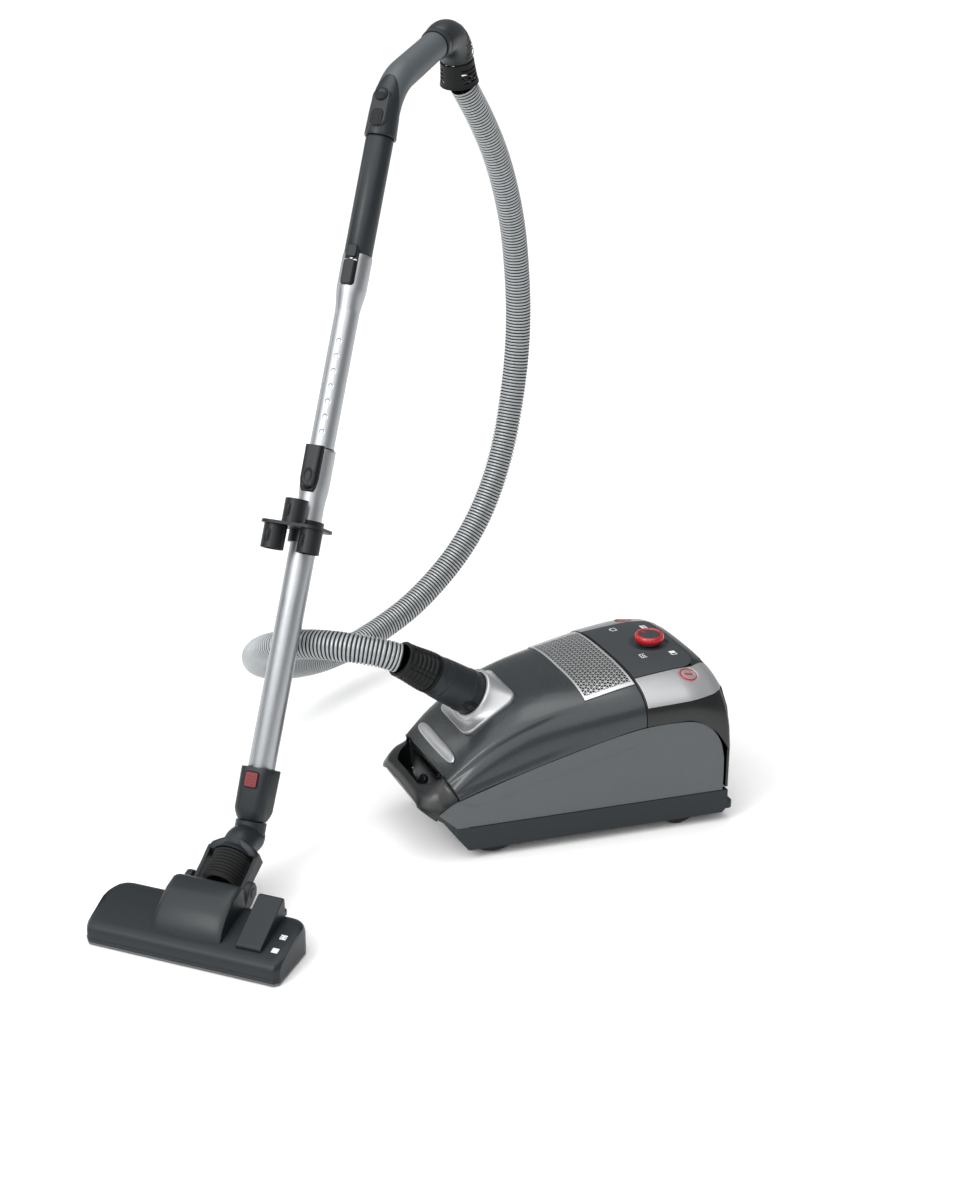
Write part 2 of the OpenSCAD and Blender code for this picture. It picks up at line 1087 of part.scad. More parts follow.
module wand_release() {
    color([0.13, 0.14, 0.15])
        on_wand()
            difference() {
                translate([-8, -25.2, socket_s - 45])
                    cube([16, 4.3, 52]);
                translate([0, -23, release_s])
                    x_cylinder(1.56, 30);
            }
}

// ---------- wand tubes ----------

lower_top_s = 484;
release_s = 731;

module upper_tube() {
    color([0.78, 0.79, 0.80])
        on_wand()
            union() {
                translate([0, 0, 170])
                    tube(upper_tube_r, 1, 505);
                translate([0, 0, 673])
                    tube(pipe_r, pipe_r - 15.45, socket_s - 673);
                for (x = [-10.5, 8.5])
                    translate([x, -25, release_s - 5])
                        cube([2, 9.4, 10]);
                translate([0, -23, release_s])
                    x_cylinder(1.5, 20);
            }
}

module lower_tube() {
    color([0.80, 0.81, 0.82])
        on_wand()
            union() {
                translate([0, 0, 22])
                    tube(lower_tube_r, lower_tube_r - upper_tube_r - 0.05, 400);
                translate([0, 0, 420])
                    tube(lower_tube_r + 1.5, lower_tube_r + 1.5 - upper_tube_r - 0.05, lower_top_s - 420);
            }
}

module tube_lock() {
    color([0.10, 0.11, 0.12])
        on_wand()
            difference() {
                hull() {
                    translate([-10, -lower_tube_r - 9, 440])
                        cube([20, 6, 36]);
                    translate([-8, -lower_tube_r - 5, 428])
                        cube([16, 4, 56]);
                }
                cylinder(r = lower_tube_r + 2, h = 600);
            }
}

holder_s = 376;
upper_stub_y = -44;
lower_stub_y = -39;
stub_x = 25;

module accessory_holder() {
    color([0.12, 0.13, 0.14])
        on_wand()
            translate([0, 0, holder_s])
                difference() {
                    union() {
                        translate([0, 0, -16])
                            cylinder(r = lower_tube_r + 4, h = 30);
                        linear_extrude(4)
                            translate([-stub_x, upper_stub_y])
                                rounded_square([2 * stub_x, -upper_stub_y - 16], 17);
                        translate([0, upper_stub_y, 3])
                            cylinder(r = stub_r, h = stub_len);
                        for (x = [-stub_x, stub_x])
                            translate([x, lower_stub_y, 1 - stub_len])
                                cylinder(r = stub_r, h = stub_len);
                    }
                    translate([0, 0, -60])
                        cylinder(r = lower_tube_r + 0.05, h = 120);
                    translate([0, upper_stub_y, 6])
                        cylinder(r = stub_r - 2.5, h = stub_len);
                    for (x = [-stub_x, stub_x])
                        translate([x, lower_stub_y, -stub_len - 2])
                            cylinder(r = stub_r - 2.5, h = stub_len);
                    translate([-5, 10, -60])
                        cube([10, 20, 120]);
                }
}

// ---------- nozzle socket and neck ----------

module nozzle_socket() {
    color([0.15, 0.17, 0.18])
        on_wand()
            difference() {
                union() {
                    translate([0, 0, 8])
                        rounded_block([42, 46, 60], 13);
                    cylinder(r = 20, h = 9);
                }
                translate([0, 0, 22])
                    cylinder(r = lower_tube_r + 0.05, h = 80);
                translate([0, 0, -1])
                    cylinder(r = 15, h = 40);
                translate([-9, -24, 42])
                    cube([18, 5.7, 20]);
            }
}

module socket_release() {
    color([0.66, 0.13, 0.17])
        on_wand()
            translate([-8.5, -24.5, 42.5])
                cube([17, 3, 19]);
}

neck_len = 66;

module neck() {
    color([0.16, 0.18, 0.19])
        difference() {
            union() {
                on_wand() {
                    translate([0, 0, -20])
                        cylinder(r = 20, h = 20 - gap);
                    translate([0, 0, -1])
                        cylinder(r = 14.94, h = 21);
                }
                on_nozzle()
                    translate(wand_root)
                        rotate([-46, 0, 0])
                            translate([0, 0, -44])
                                cylinder(r = 20.5, h = 36);
                on_neck() {
                    translate([0, 0, 43])
                        cylinder(r = 21, h = 24);
                    translate([0, 0, 43])
                        cylinder(r1 = 34, r2 = 21, h = 14);
                    both_sides()
                        neck_arm();
                }
            }
            on_wand()
                translate([0, 0, -30])
                    cylinder(r = 11.5, h = 60);
            on_nozzle()
                translate(wand_root)
                    rotate([-46, 0, 0])
                        translate([0, 0, -50])
                            cylinder(r = 15, h = 46);
            on_neck() {
                translate([0, 0, 40])
                    cylinder(r = 16, h = 30);
                x_cylinder(4.05, 90);
            }
        }
}

// Arm of the neck yoke, ending in the hinge boss.
module neck_arm() {
    translate([31, -8, 0])
        cube([4.5, 16, 48]);
    translate([31, 0, 0])
        x_cylinder_from(9, 4.5);
}

module x_cylinder_from(r, length) {
    rotate([0, 90, 0])
        cylinder(r = r, h = length);
}

module neck_bellows() {
    color([0.07, 0.07, 0.08])
        on_neck()
            difference() {
                union() {
                    translate([0, 0, 3])
                        cylinder(r = 25, h = 39.5);
                    for (k = [0:6])
                        translate([0, 0, 4 + k * 5.4])
                            cylinder(r = 27.5, h = 2.7);
                }
                translate([0, 0, 1])
                    cylinder(r = 20, h = 60);
            }
}

// ---------- floor nozzle ----------

pedal_x = 85;
pedal_y = 50;
pedal_z = 30;

// Plan of the nozzle with round rear corners, moved in by inset.
module head_plan(inset) {
    half = head_w / 2;
    translate([-half + 22, 22])
        rounded_square([head_w - 44, head_d - 44], 22 - inset);
    polygon([
        [-half + inset, 30], [-half + inset, 6 + inset], [-half + 6 + inset, inset],
        [half - 6 - inset, inset], [half - inset, 6 + inset], [half - inset, 30]
    ]);
}

module head_profile(inset) {
    polygon([
        [inset, -1], [inset, 22 - inset], [7 + inset, 29 - inset],
        [head_d - 22, head_h - inset], [head_d - 10, head_h - inset],
        [head_d - inset, head_h - 9 - inset], [head_d - inset, -1]
    ]);
}

module head_block(inset) {
    intersection() {
        across(head_w)
            head_profile(inset);
        translate([0, 0, -2])
            linear_extrude(80)
                head_plan(inset);
    }
}

module head_shell() {
    color([0.18, 0.20, 0.21])
        on_nozzle() {
            both_sides()
                translate([31.2, hinge_at[1], hinge_at[2]])
                    x_cylinder_from(4, 8);
            difference() {
                union() {
                    difference() {
                        union() {
                            head_block(0);
                            across(96)
                                polygon([
                                    [16, 28], [20, 40], [36, 58], [58, 71], [79, 76], [87, 73],
                                    [87, 36], [70, 28]
                                ]);
                        }
                        head_block(3);
                        across(90)
                            polygon([
                                [24, 20], [24, 38], [39, 54], [60, 67], [78, 72], [83, 70],
                                [83, 20]
                            ]);
                        translate([pedal_x - 18, 13, 20])
                            cube([36, 74, 40]);
                    }
                    both_sides()
                        translate([37, 0, 0])
                            hinge_ear();
                    for (x = [-20.5, 17.5])
                        translate([pedal_x + x, pedal_y - 7, pedal_z - 7])
                            cube([3, 14, 11]);
                }
                translate([-150, -10, -5])
                    cube([300, 160, 9]);
                translate([-36.6, 87.5, 0])
                    cube([73.2, 40, 80]);
                translate([pedal_x, pedal_y, pedal_z])
                    x_cylinder(2.05, 60);
            }
        }
}

// Ear at the back of the nozzle that carries one end of the hinge pin.
module hinge_ear() {
    rotate([90, 0, 90])
        linear_extrude(9)
            polygon([
                [72, 22], [96, 22], [hinge_at[1] + 11, 40], [hinge_at[1] + 12, 52],
                [hinge_at[1] + 7, 61], [hinge_at[1], 63.5], [hinge_at[1] - 8, 60], [94, 48],
                [86, 40], [72, 40]
            ]);
}

module sole_plate() {
    color([0.60, 0.61, 0.62])
        on_nozzle()
            difference() {
                translate([0, 0, 0.8])
                    linear_extrude(3)
                        head_plan(0.4);
                translate([-105, 37, -5])
                    cube([210, 18, 20]);
                for (y = [12, 80])
                    translate([-111, y - 2.6, -5])
                        cube([222, 5.2, 20]);
            }
}

module rocker_pedal() {
    color([0.20, 0.22, 0.23])
        on_nozzle() {
            translate([pedal_x, 0, 0])
                across(33)
                    polygon([
                        [18, 31], [18, 35], [20, 37], [80, 69], [84, 69], [85, 66], [85, 46],
                        [60, 40]
                    ]);
            translate([pedal_x, pedal_y - 5, pedal_z - 4])
                across(10)
                    square([10, 16]);
            translate([pedal_x, pedal_y, pedal_z])
                x_cylinder(2, 40.5);
        }
}

module bristle_strips() {
    color([0.08, 0.08, 0.08])
        on_nozzle()
            for (y = [12, 80])
                translate([-110, y - 2, 0.6])
                    cube([220, 4, 12]);
}

// ---------- what is drawn ----------

chassis_tray();
front_bezel();
side_panel_near();
side_panel_far();
rear_cover();
rear_wall();
exhaust_grille();
exhaust_filter();
rear_bumper();
control_panel();
silver_frame();
circuit_board();
cord_outlet();
bag_tub();
dust_bag();
motor_filter();
motor_housing();
motor_mounts();
motor_rotor();
cord_reel();
reel_stand();
axle_pins();
rear_wheel_near();
rear_wheel_far();
caster_fork_near();
caster_fork_far();
caster_wheel_near();
caster_wheel_far();
knob_ring();
knob_cap();
power_button();
rewind_button();
lid_shell();
lid_grille();
inlet_surround();
lid_latch();
lid_hinge_pin();
hose_connector();
hose_cuff();
hose();
hose_guard();
handle_elbow();
grip();
control_sleeve();
bypass_slide();
sleeve_button();
handle_pipe();
wand_release();
upper_tube();
lower_tube();
tube_lock();
accessory_holder();
nozzle_socket();
socket_release();
neck();
neck_bellows();
head_shell();
sole_plate();
rocker_pedal();
bristle_strips();
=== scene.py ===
"""Looks of the bagged canister vacuum cleaner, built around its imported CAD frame."""
import json
import math

import bpy
import numpy as np
from mathutils import Euler, Matrix, Vector, noise

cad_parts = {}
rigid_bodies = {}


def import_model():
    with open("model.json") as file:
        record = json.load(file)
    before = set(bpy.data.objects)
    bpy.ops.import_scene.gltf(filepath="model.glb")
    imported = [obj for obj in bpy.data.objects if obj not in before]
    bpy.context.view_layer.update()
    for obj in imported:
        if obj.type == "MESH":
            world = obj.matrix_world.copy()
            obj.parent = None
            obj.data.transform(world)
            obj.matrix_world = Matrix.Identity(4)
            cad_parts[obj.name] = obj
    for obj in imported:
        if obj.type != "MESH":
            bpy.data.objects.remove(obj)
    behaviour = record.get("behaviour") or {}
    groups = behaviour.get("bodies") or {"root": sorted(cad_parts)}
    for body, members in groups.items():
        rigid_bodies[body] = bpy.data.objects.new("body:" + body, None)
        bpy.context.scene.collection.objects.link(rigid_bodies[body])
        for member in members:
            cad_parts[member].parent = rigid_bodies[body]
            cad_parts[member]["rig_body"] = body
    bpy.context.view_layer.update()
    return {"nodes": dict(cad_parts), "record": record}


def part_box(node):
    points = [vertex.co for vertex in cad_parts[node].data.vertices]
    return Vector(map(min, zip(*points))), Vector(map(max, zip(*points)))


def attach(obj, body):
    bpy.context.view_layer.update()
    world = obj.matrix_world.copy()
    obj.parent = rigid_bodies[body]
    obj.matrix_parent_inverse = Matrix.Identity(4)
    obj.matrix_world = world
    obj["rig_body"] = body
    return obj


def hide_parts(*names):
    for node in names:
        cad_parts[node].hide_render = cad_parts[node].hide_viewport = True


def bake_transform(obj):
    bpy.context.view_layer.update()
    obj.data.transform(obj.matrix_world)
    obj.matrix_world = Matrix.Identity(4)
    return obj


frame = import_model()

MM = 0.001


# ---------- frames of the assemblies, in millimetres as in the part's source ----------

def move(x, y, z):
    """Shift in millimetres."""
    return Matrix.Translation((x, y, z))


def turn(x=0.0, y=0.0, z=0.0):
    """Turn in degrees, about x first, then y, then z."""
    return Euler((math.radians(x), math.radians(y), math.radians(z))).to_matrix().to_4x4()


def flipped(sign):
    """Mirrors across the middle plane when sign is -1."""
    return Matrix.Diagonal((sign, 1, 1, 1))


# Names in _S are distances along the wand and handle from the wand's foot, names in _R are
# radii, and names in _Y are places along the canister. Bends are radii and turns degrees.
GRIP_BEND, GRIP_TURN, GRIP_RUN = 90.0, 50.0, 138.0
ELBOW_BEND, ELBOW_TURN, GUARD_LEN = 50.0, 85.0, 34.0
HOLDER_S, LOWER_TOP_S, RELEASE_S = 376.0, 484.0, 731.0
SOCKET_S, SLEEVE_S, BEND_S = 742.0, 900.0, 930.0
PIPE_R, GRIP_R, UPPER_R, LOWER_R, STUB_R = 18.5, 19.5, 16.0, 17.5, 15.0
HOSE_R, HOSE_PITCH = 19.5, 5.1
HEAD_W, HEAD_D, HEAD_H = 265.0, 95.0, 42.0
SEAM_Y, REAR_Y, NOSE_Y, FRONT_Y = 85.0, 209.0, -218.0, -170.0
KNOB_AT = (0.0, 152.0, 220.5)

CANISTER_AT = (116.6, 226.0, 0.0)
CANISTER = move(*CANISTER_AT)
NOZZLE = CANISTER @ move(177.6, -576.6, 0.0) @ turn(z=45)
WAND = NOZZLE @ move(0, 200, 94) @ turn(x=-29.5)
NECK = NOZZLE @ move(0, 110, 49.2) @ turn(x=-63)
INLET = CANISTER @ move(0, -108, 190) @ turn(x=55)
PLATE = CANISTER @ move(0, -106, 181) @ turn(x=31)
BUTTON = CANISTER @ move(94, 161, 208.5) @ turn(x=-8, y=17)

HOSE_ROUTE = [
    (0, -215, 265), (-8, -239, 274), (-27, -274, 280), (-52, -303, 279), (-84, -327, 270),
    (-128, -344, 251), (-178, -347, 223), (-225, -340, 193), (-269, -324, 163), (-310, -300, 135),
    (-348, -267, 110), (-381, -228, 90), (-412, -182, 76), (-440, -126, 73), (-463, -69, 82),
    (-481, -12, 102), (-497, 39, 131), (-511, 86, 169), (-526, 127, 215), (-541, 160, 269),
    (-554, 184, 327), (-565, 201, 389), (-571, 212, 456), (-572, 215, 526), (-566, 209, 598),
    (-553, 196, 666), (-535, 175, 732), (-516, 149, 792), (-496, 117, 848), (-476, 80, 903),
]


# ---------- camera ----------

SENSOR_HEIGHT, LENS = 24.0, 40.872
CAMERA_AT, CAMERA_LOOKS = (2.3448, -0.8547, 1.4110), (-0.8365, 0.3672, -0.4067)


def linked(name, data):
    """A new object in the scene that holds the data."""
    obj = bpy.data.objects.new(name, data)
    bpy.context.scene.collection.objects.link(obj)
    return obj


def face_along(obj, direction):
    """Turns a camera or lamp to look along the direction, upright."""
    obj.rotation_mode = "QUATERNION"
    obj.rotation_quaternion = Vector(direction).to_track_quat("-Z", "Y")


def make_camera():
    """The camera that sees the object as it was photographed."""
    data = bpy.data.cameras.new("photo_camera")
    data.sensor_fit = "VERTICAL"
    data.sensor_height = SENSOR_HEIGHT
    data.lens = LENS
    data.clip_end = 50.0
    cam = linked("photo_camera", data)
    cam.location = CAMERA_AT
    face_along(cam, CAMERA_LOOKS)
    bpy.context.scene.camera = cam


make_camera()


# ---------- materials ----------

def linear(r, g, b):
    """Scene colour of a screen colour given from 0 to 255."""
    def one(c):
        c = c / 255.0
        return c / 12.92 if c <= 0.04045 else ((c + 0.055) / 1.055) ** 2.4
    return (one(r), one(g), one(b), 1.0)


def add(nodes, kind, **sockets):
    """Adds a node and sets its sockets; an underscore in a name stands for a space."""
    node = nodes.new(kind)
    for name, value in sockets.items():
        node.inputs[name.replace("_", " ")].default_value = value
    return node


def surface_material(name, rgb, rough, grain=1400.0, bump=0.05, mottle=0.06, metallic=0.0,
                     coat=0.0, stretch=(1, 1, 1), rough_swing=0.06, specular=0.5):
    """Moulded, painted or drawn surface: uneven tone, uneven gloss and a fine relief."""
    mat = bpy.data.materials.new(name)
    mat.use_nodes = True
    nodes, links = mat.node_tree.nodes, mat.node_tree.links
    shader = nodes["Principled BSDF"]
    shader.inputs["Metallic"].default_value = metallic
    shader.inputs["Coat Weight"].default_value = coat
    shader.inputs["Coat Roughness"].default_value = 0.12
    shader.inputs["Specular IOR Level"].default_value = specular
    place = nodes.new("ShaderNodeTexCoord")
    scale = add(nodes, "ShaderNodeMapping", Scale=stretch)
    links.new(place.outputs["Object"], scale.inputs["Vector"])
    broad = add(nodes, "ShaderNodeTexNoise", Scale=28.0, Detail=4.0)
    fine = add(nodes, "ShaderNodeTexNoise", Scale=grain, Detail=2.0)
    links.new(scale.outputs["Vector"], broad.inputs["Vector"])
    links.new(scale.outputs["Vector"], fine.inputs["Vector"])
    tone = nodes.new("ShaderNodeMix")
    tone.data_type = "RGBA"
    base = linear(*rgb)
    tone.inputs["A"].default_value = tuple(c * (1 - mottle) for c in base[:3]) + (1.0,)
    tone.inputs["B"].default_value = tuple(min(1.0, c * (1 + mottle)) for c in base[:3]) + (1.0,)
    links.new(broad.outputs["Fac"], tone.inputs["Factor"])
    links.new(tone.outputs["Result"], shader.inputs["Base Color"])
    gloss = add(nodes, "ShaderNodeMapRange", From_Min=0.3, From_Max=0.7,
                To_Min=max(0.02, rough - rough_swing), To_Max=min(1.0, rough + rough_swing))
    links.new(fine.outputs["Fac"], gloss.inputs["Value"])
    links.new(gloss.outputs["Result"], shader.inputs["Roughness"])
    relief = add(nodes, "ShaderNodeBump", Strength=bump, Distance=0.0004)
    links.new(fine.outputs["Fac"], relief.inputs["Height"])
    links.new(relief.outputs["Normal"], shader.inputs["Normal"])
    return mat


def brushed_metal(name, rgb, rough, stretch):
    """Drawn or rolled metal whose streaks run along the stretched axis."""
    mat = surface_material(name, rgb, rough, grain=500.0, bump=0.10, mottle=0.05, metallic=1.0,
                           stretch=stretch, rough_swing=0.07)
    mat.node_tree.nodes["Principled BSDF"].inputs["Anisotropic"].default_value = 0.3
    return mat


M = {
    "lid": surface_material("lid_satin", (35, 41, 44), 0.30, grain=1600, bump=0.05, coat=0.2),
    "gloss": surface_material("gloss_black", (12, 14, 16), 0.34, grain=900, bump=0.01, coat=0.08),
    "slate": surface_material("slate_plastic", (27, 33, 36), 0.42, grain=1500, bump=0.14,
                              specular=0.32),
    "handle": surface_material("handle_plastic", (29, 35, 38), 0.36, grain=1700, bump=0.12,
                               specular=0.36),
    "dark": surface_material("dark_plastic", (20, 24, 27), 0.40, grain=1500, bump=0.14,
                             specular=0.32),
    "black": surface_material("black_plastic", (9, 11, 13), 0.46, grain=1300, bump=0.14,
                              specular=0.25),
    "panel": surface_material("panel_grey", (76, 81, 83), 0.50, grain=1500, bump=0.20),
    "grip": surface_material("grip_grey", (70, 77, 80), 0.48, grain=1800, bump=0.16),
    "console": surface_material("console_grey", (44, 50, 53), 0.52, grain=1900, bump=0.22),
    "silver": surface_material("silver_paint", (176, 177, 178), 0.38, grain=2600, bump=0.05,
                               metallic=0.75, coat=0.1, mottle=0.03),
    "grille": surface_material("grille_silver", (196, 197, 198), 0.36, grain=2600, bump=0.05,
                               metallic=0.7, coat=0.2, mottle=0.03),
    "red": surface_material("red_gloss", (172, 8, 22), 0.30, grain=1500, bump=0.05, coat=0.4),
    "dull_red": surface_material("red_satin", (112, 14, 22), 0.42, grain=1500, bump=0.12),
    "icon": surface_material("icon_print", (214, 216, 216), 0.60, grain=2600, bump=0.10),
    "ring": surface_material("hose_ring", (160, 164, 166), 0.32, grain=1500, bump=0.08,
                             metallic=0.35, coat=0.1),
    "groove": surface_material("hose_groove", (9, 10, 11), 0.60, grain=1500, bump=0.10),
    "rubber": surface_material("rubber", (22, 23, 24), 0.70, grain=900, bump=0.35),
    "bristle": surface_material("bristle", (15, 15, 16), 0.80, grain=2200, bump=0.8,
                                stretch=(1, 1, 0.05)),
    "paper": surface_material("bag_fleece", (214, 209, 196), 0.92, grain=700, bump=0.7,
                              mottle=0.10),
    "card": surface_material("bag_card", (168, 140, 104), 0.85, grain=900, bump=0.4),
    "foam": surface_material("filter_foam", (204, 203, 196), 0.95, grain=420, bump=1.0),
    "board": surface_material("circuit_board", (22, 84, 50), 0.35, grain=300, bump=0.25),
    "copper": surface_material("copper_wire", (176, 98, 54), 0.30, grain=900, bump=0.5,
                               metallic=1.0, stretch=(1, 1, 9)),
    "steel": brushed_metal("steel_pin", (150, 152, 154), 0.28, (1, 1, 6)),
    "tube": brushed_metal("satin_chrome", (168, 171, 174), 0.36, (9, 9, 1)),
    "sole": brushed_metal("sole_metal", (110, 112, 114), 0.40, (1, 12, 1)),
}


# ---------- mesh helpers: points in millimetres in a local frame ----------

def new_object(name, points, faces, place, material, body, replaces=None):
    """A mesh piece that rides on its body and takes its material, or each of a list of materials.

    A piece named NODE_v stands for that CAD node, unless it is told what it replaces."""
    world = np.array(Matrix.Scale(MM, 4) @ place)
    pts = np.asarray(points, float).reshape(-1, 3) @ world[:3, :3].T + world[:3, 3]
    mesh = bpy.data.meshes.new(name)
    mesh.from_pydata(pts.tolist(), [], [tuple(int(i) for i in f) for f in faces])
    mesh.validate()
    obj = linked(name, mesh)
    kinds = [material] if isinstance(material, str) else material
    for kind in kinds:
        mesh.materials.append(M[kind])
    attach(obj, body)
    if replaces is None and name.endswith("_v"):
        replaces = [name[:-2]]
    if replaces:
        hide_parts(*replaces)
    return obj


def bend_across(obj):
    """A soft piece, already final, lets go of its body and keeps its place in the scene, on no body.
    """
    obj.parent = None
    obj.matrix_world = Matrix.Identity(4)
    del obj["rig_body"]
    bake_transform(obj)


def applied(obj):
    """Bakes the object's modifiers into its mesh."""
    graph = bpy.context.evaluated_depsgraph_get()
    graph.update()
    mesh = bpy.data.meshes.new_from_object(obj.evaluated_get(graph))
    obj.modifiers.clear()
    obj.data = mesh
    return obj


def rounded(obj, width=0.8, segments=3, limit=28.0, smooth=38.0):
    """Rounds the edges sharper than limit, and shades the rest smooth."""
    if width > 0:
        bevel = obj.modifiers.new("edges", "BEVEL")
        bevel.width = width * MM
        bevel.segments = segments
        bevel.limit_method = "ANGLE"
        bevel.angle_limit = math.radians(limit)
        applied(obj)
    mesh = obj.data
    mesh.polygons.foreach_set("use_smooth", [True] * len(mesh.polygons))
    mesh.set_sharp_from_angle(angle=math.radians(smooth))
    return obj


def weighted(obj):
    """Keeps broad faces looking flat beside their rounded edges."""
    shading = obj.modifiers.new("shading", "WEIGHTED_NORMAL")
    shading.keep_sharp = True
    shading.weight = 80
    return applied(obj)


def thick(obj, depth):
    """Gives an open sheet of faces a wall of that depth, inwards."""
    solid = obj.modifiers.new("wall", "SOLIDIFY")
    solid.thickness = depth * MM
    solid.offset = -1.0
    return applied(obj)


def grid_faces(rows, cols, wrap_rows=False, wrap_cols=False):
    """Four-sided faces over a grid of points, joined round where it wraps."""
    faces = []
    for i in range(rows if wrap_rows else rows - 1):
        for j in range(cols if wrap_cols else cols - 1):
            k, l = (i + 1) % rows, (j + 1) % cols
            faces.append((i * cols + j, i * cols + l, k * cols + l, k * cols + j))
    return faces


def around(sides):
    """Angles of a full turn."""
    return np.linspace(0, 2 * math.pi, sides, endpoint=False)


def circle(r, z, sides):
    """Level ring of points about the z axis."""
    return [(r * math.cos(a), r * math.sin(a), z) for a in around(sides)]


def level(outline, z):
    """A flat outline lifted to height z."""
    return [(x, y, z) for x, y in outline]


def lofted(name, rings, place, material, body, replaces=None, caps=True):
    """Skin over equal rings of points, with its two ends capped or left open."""
    rings = np.asarray(rings, float)
    rows, cols = rings.shape[:2]
    faces = grid_faces(rows, cols, wrap_cols=True)
    if caps:
        faces.append(tuple(range(cols))[::-1])
        faces.append(tuple((rows - 1) * cols + j for j in range(cols)))
    return new_object(name, rings, faces, place, material, body, replaces)


def lathed(name, profile, place, material, body, replaces=None, sides=72, closed=True,
           edge=0, smooth=38):
    """Turned piece: profile is (r, z) points; closed is a ring with a bore, else a solid disc."""
    rings = [circle(r, z, sides) for r, z in profile]
    if closed:
        faces = grid_faces(len(rings), sides, wrap_rows=True, wrap_cols=True)
        obj = new_object(name, rings, faces, place, material, body, replaces)
    else:
        obj = lofted(name, rings, place, material, body, replaces)
    return rounded(obj, edge, smooth=smooth)


def prism(name, outline, z0, z1, place, material, body, replaces=None):
    """Straight block between the heights z0 and z1."""
    rings = [level(outline, z0), level(outline, z1)]
    return lofted(name, rings, place, material, body, replaces)


def round_rect(w, d, r, steps=8):
    """Outline of a round-cornered rectangle about the origin."""
    outline = []
    for cx, cy, start in ((w / 2 - r, d / 2 - r, 0), (r - w / 2, d / 2 - r, 90),
                          (r - w / 2, r - d / 2, 180), (w / 2 - r, r - d / 2, 270)):
        for i in range(steps + 1):
            a = math.radians(start + 90 * i / steps)
            outline.append((cx + r * math.cos(a), cy + r * math.sin(a)))
    return outline


def smooth_line(pts, steps):
    """Points of a smooth curve through pts, steps to each stretch."""
    p = [np.array(q, float) for q in pts]
    p = [2 * p[0] - p[1]] + p + [2 * p[-1] - p[-2]]
    out = []
    for a, b, c, d in zip(p, p[1:], p[2:], p[3:]):
        for t in np.arange(steps) / steps:
            out.append(0.5 * (2 * b + (c - a) * t + (2 * a - 5 * b + 4 * c - d) * t ** 2
                              + (3 * b - a - 3 * c + d) * t ** 3))
    return np.array(out + [p[-2]])


def even(line, step):
    """The same line with points step apart."""
    run = np.r_[0, np.cumsum(np.linalg.norm(np.diff(line, axis=0), axis=1))]
    at = np.linspace(0, run[-1], max(2, int(round(run[-1] / step)) + 1))
    return np.stack([np.interp(at, run, line[:, k]) for k in range(line.shape[1])], 1)


def ease(t):
    """Smooth step from 0 to 1."""
    t = np.clip(t, 0, 1)
    return t * t * (3 - 2 * t)


def carried(node, material, body, width=0.8, angle=28.0):
    """A CAD piece with rounded edges and its finish, standing for the plain one."""
    source = frame["nodes"][node]
    mesh = source.data.copy()
    obj = linked(node + "_v", mesh)
    obj.matrix_world = source.matrix_world
    mesh.materials.clear()
    mesh.materials.append(M[material])
    weld = obj.modifiers.new("weld", "WELD")
    weld.merge_threshold = 0.00002
    flat = obj.modifiers.new("flat", "DECIMATE")
    flat.decimate_type = "DISSOLVE"
    flat.angle_limit = math.radians(0.8)
    applied(obj)
    for face in obj.data.polygons:
        face.material_index = 0
    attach(obj, body)
    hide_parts(node)
    return weighted(rounded(obj, width, 2, angle))


# ---------- canister surface ----------

CROWN = ([-218, -196, -170, -145, -105, -65, -20, 20, 85, 150, 182, 196, 204, 209],
         [84, 102, 128, 152, 180, 198, 207, 211, 216.4, 218, 217, 213, 206, 192])
HEM = ([-218, -205, -170, -80, 31, 90, 142, 182, 196, 209],
       [76, 74, 91, 120, 150, 161, 162, 141, 122, 100])
CREASE = ([-200, -149, -108, -67, -31, 0], [67, 76.8, 81.5, 85.8, 88, 91])


def smooth_along(x, stations):
    """Monotone smooth lookup through the stations."""
    xs, ys = (np.array(s, float) for s in stations)
    x = np.clip(np.asarray(x, float), xs[0], xs[-1])
    d = np.diff(ys) / np.diff(xs)
    m = np.zeros_like(xs)
    m[0], m[-1] = d[0], d[-1]
    same = d[:-1] * d[1:] > 0
    m[1:-1][same] = (2 * d[:-1] * d[1:] / np.where(same, d[:-1] + d[1:], 1))[same]
    i = np.clip(np.searchsorted(xs, x) - 1, 0, len(xs) - 2)
    h = xs[i + 1] - xs[i]
    t = (x - xs[i]) / h
    return ((2 * t ** 3 - 3 * t ** 2 + 1) * ys[i] + (t ** 3 - 2 * t ** 2 + t) * h * m[i]
            + (3 * t ** 2 - 2 * t ** 3) * ys[i + 1] + (t ** 3 - t ** 2) * h * m[i + 1])


def flank(y):
    """Half width of the canister at y."""
    return np.minimum(94 + 45 * (np.asarray(y, float) + 155) / 353,
                      58 + 6.2 * np.sqrt(np.maximum(0, np.asarray(y, float) - NOSE_Y)))


def crown(y):
    """Height of the canister's middle line at y."""
    return smooth_along(y, CROWN)


def hem(y):
    """Height at which the upper skin meets the side panels at y."""
    return smooth_along(y, HEM)


def half_section(y):
    """One half of the section at y: x from 0 out to the flank, z, and the run along it."""
    w = np.linspace(0, 1, 140)
    u = 1 - (1 - w) ** 3
    v = (1 - u ** 3) ** (1 / 3)
    x, z = flank(y) * u, hem(y) + (crown(y) - hem(y)) * v
    return x, z, np.r_[0, np.cumsum(np.hypot(np.diff(x), np.diff(z)))]


STATION = 0.5
SECTIONS = [half_section(y) for y in np.arange(NOSE_Y, REAR_Y + STATION, STATION)]


def section(y):
    """The stored half section nearest to y."""
    k = int(round((y - NOSE_Y) / STATION))
    return SECTIONS[min(max(k, 0), len(SECTIONS) - 1)]


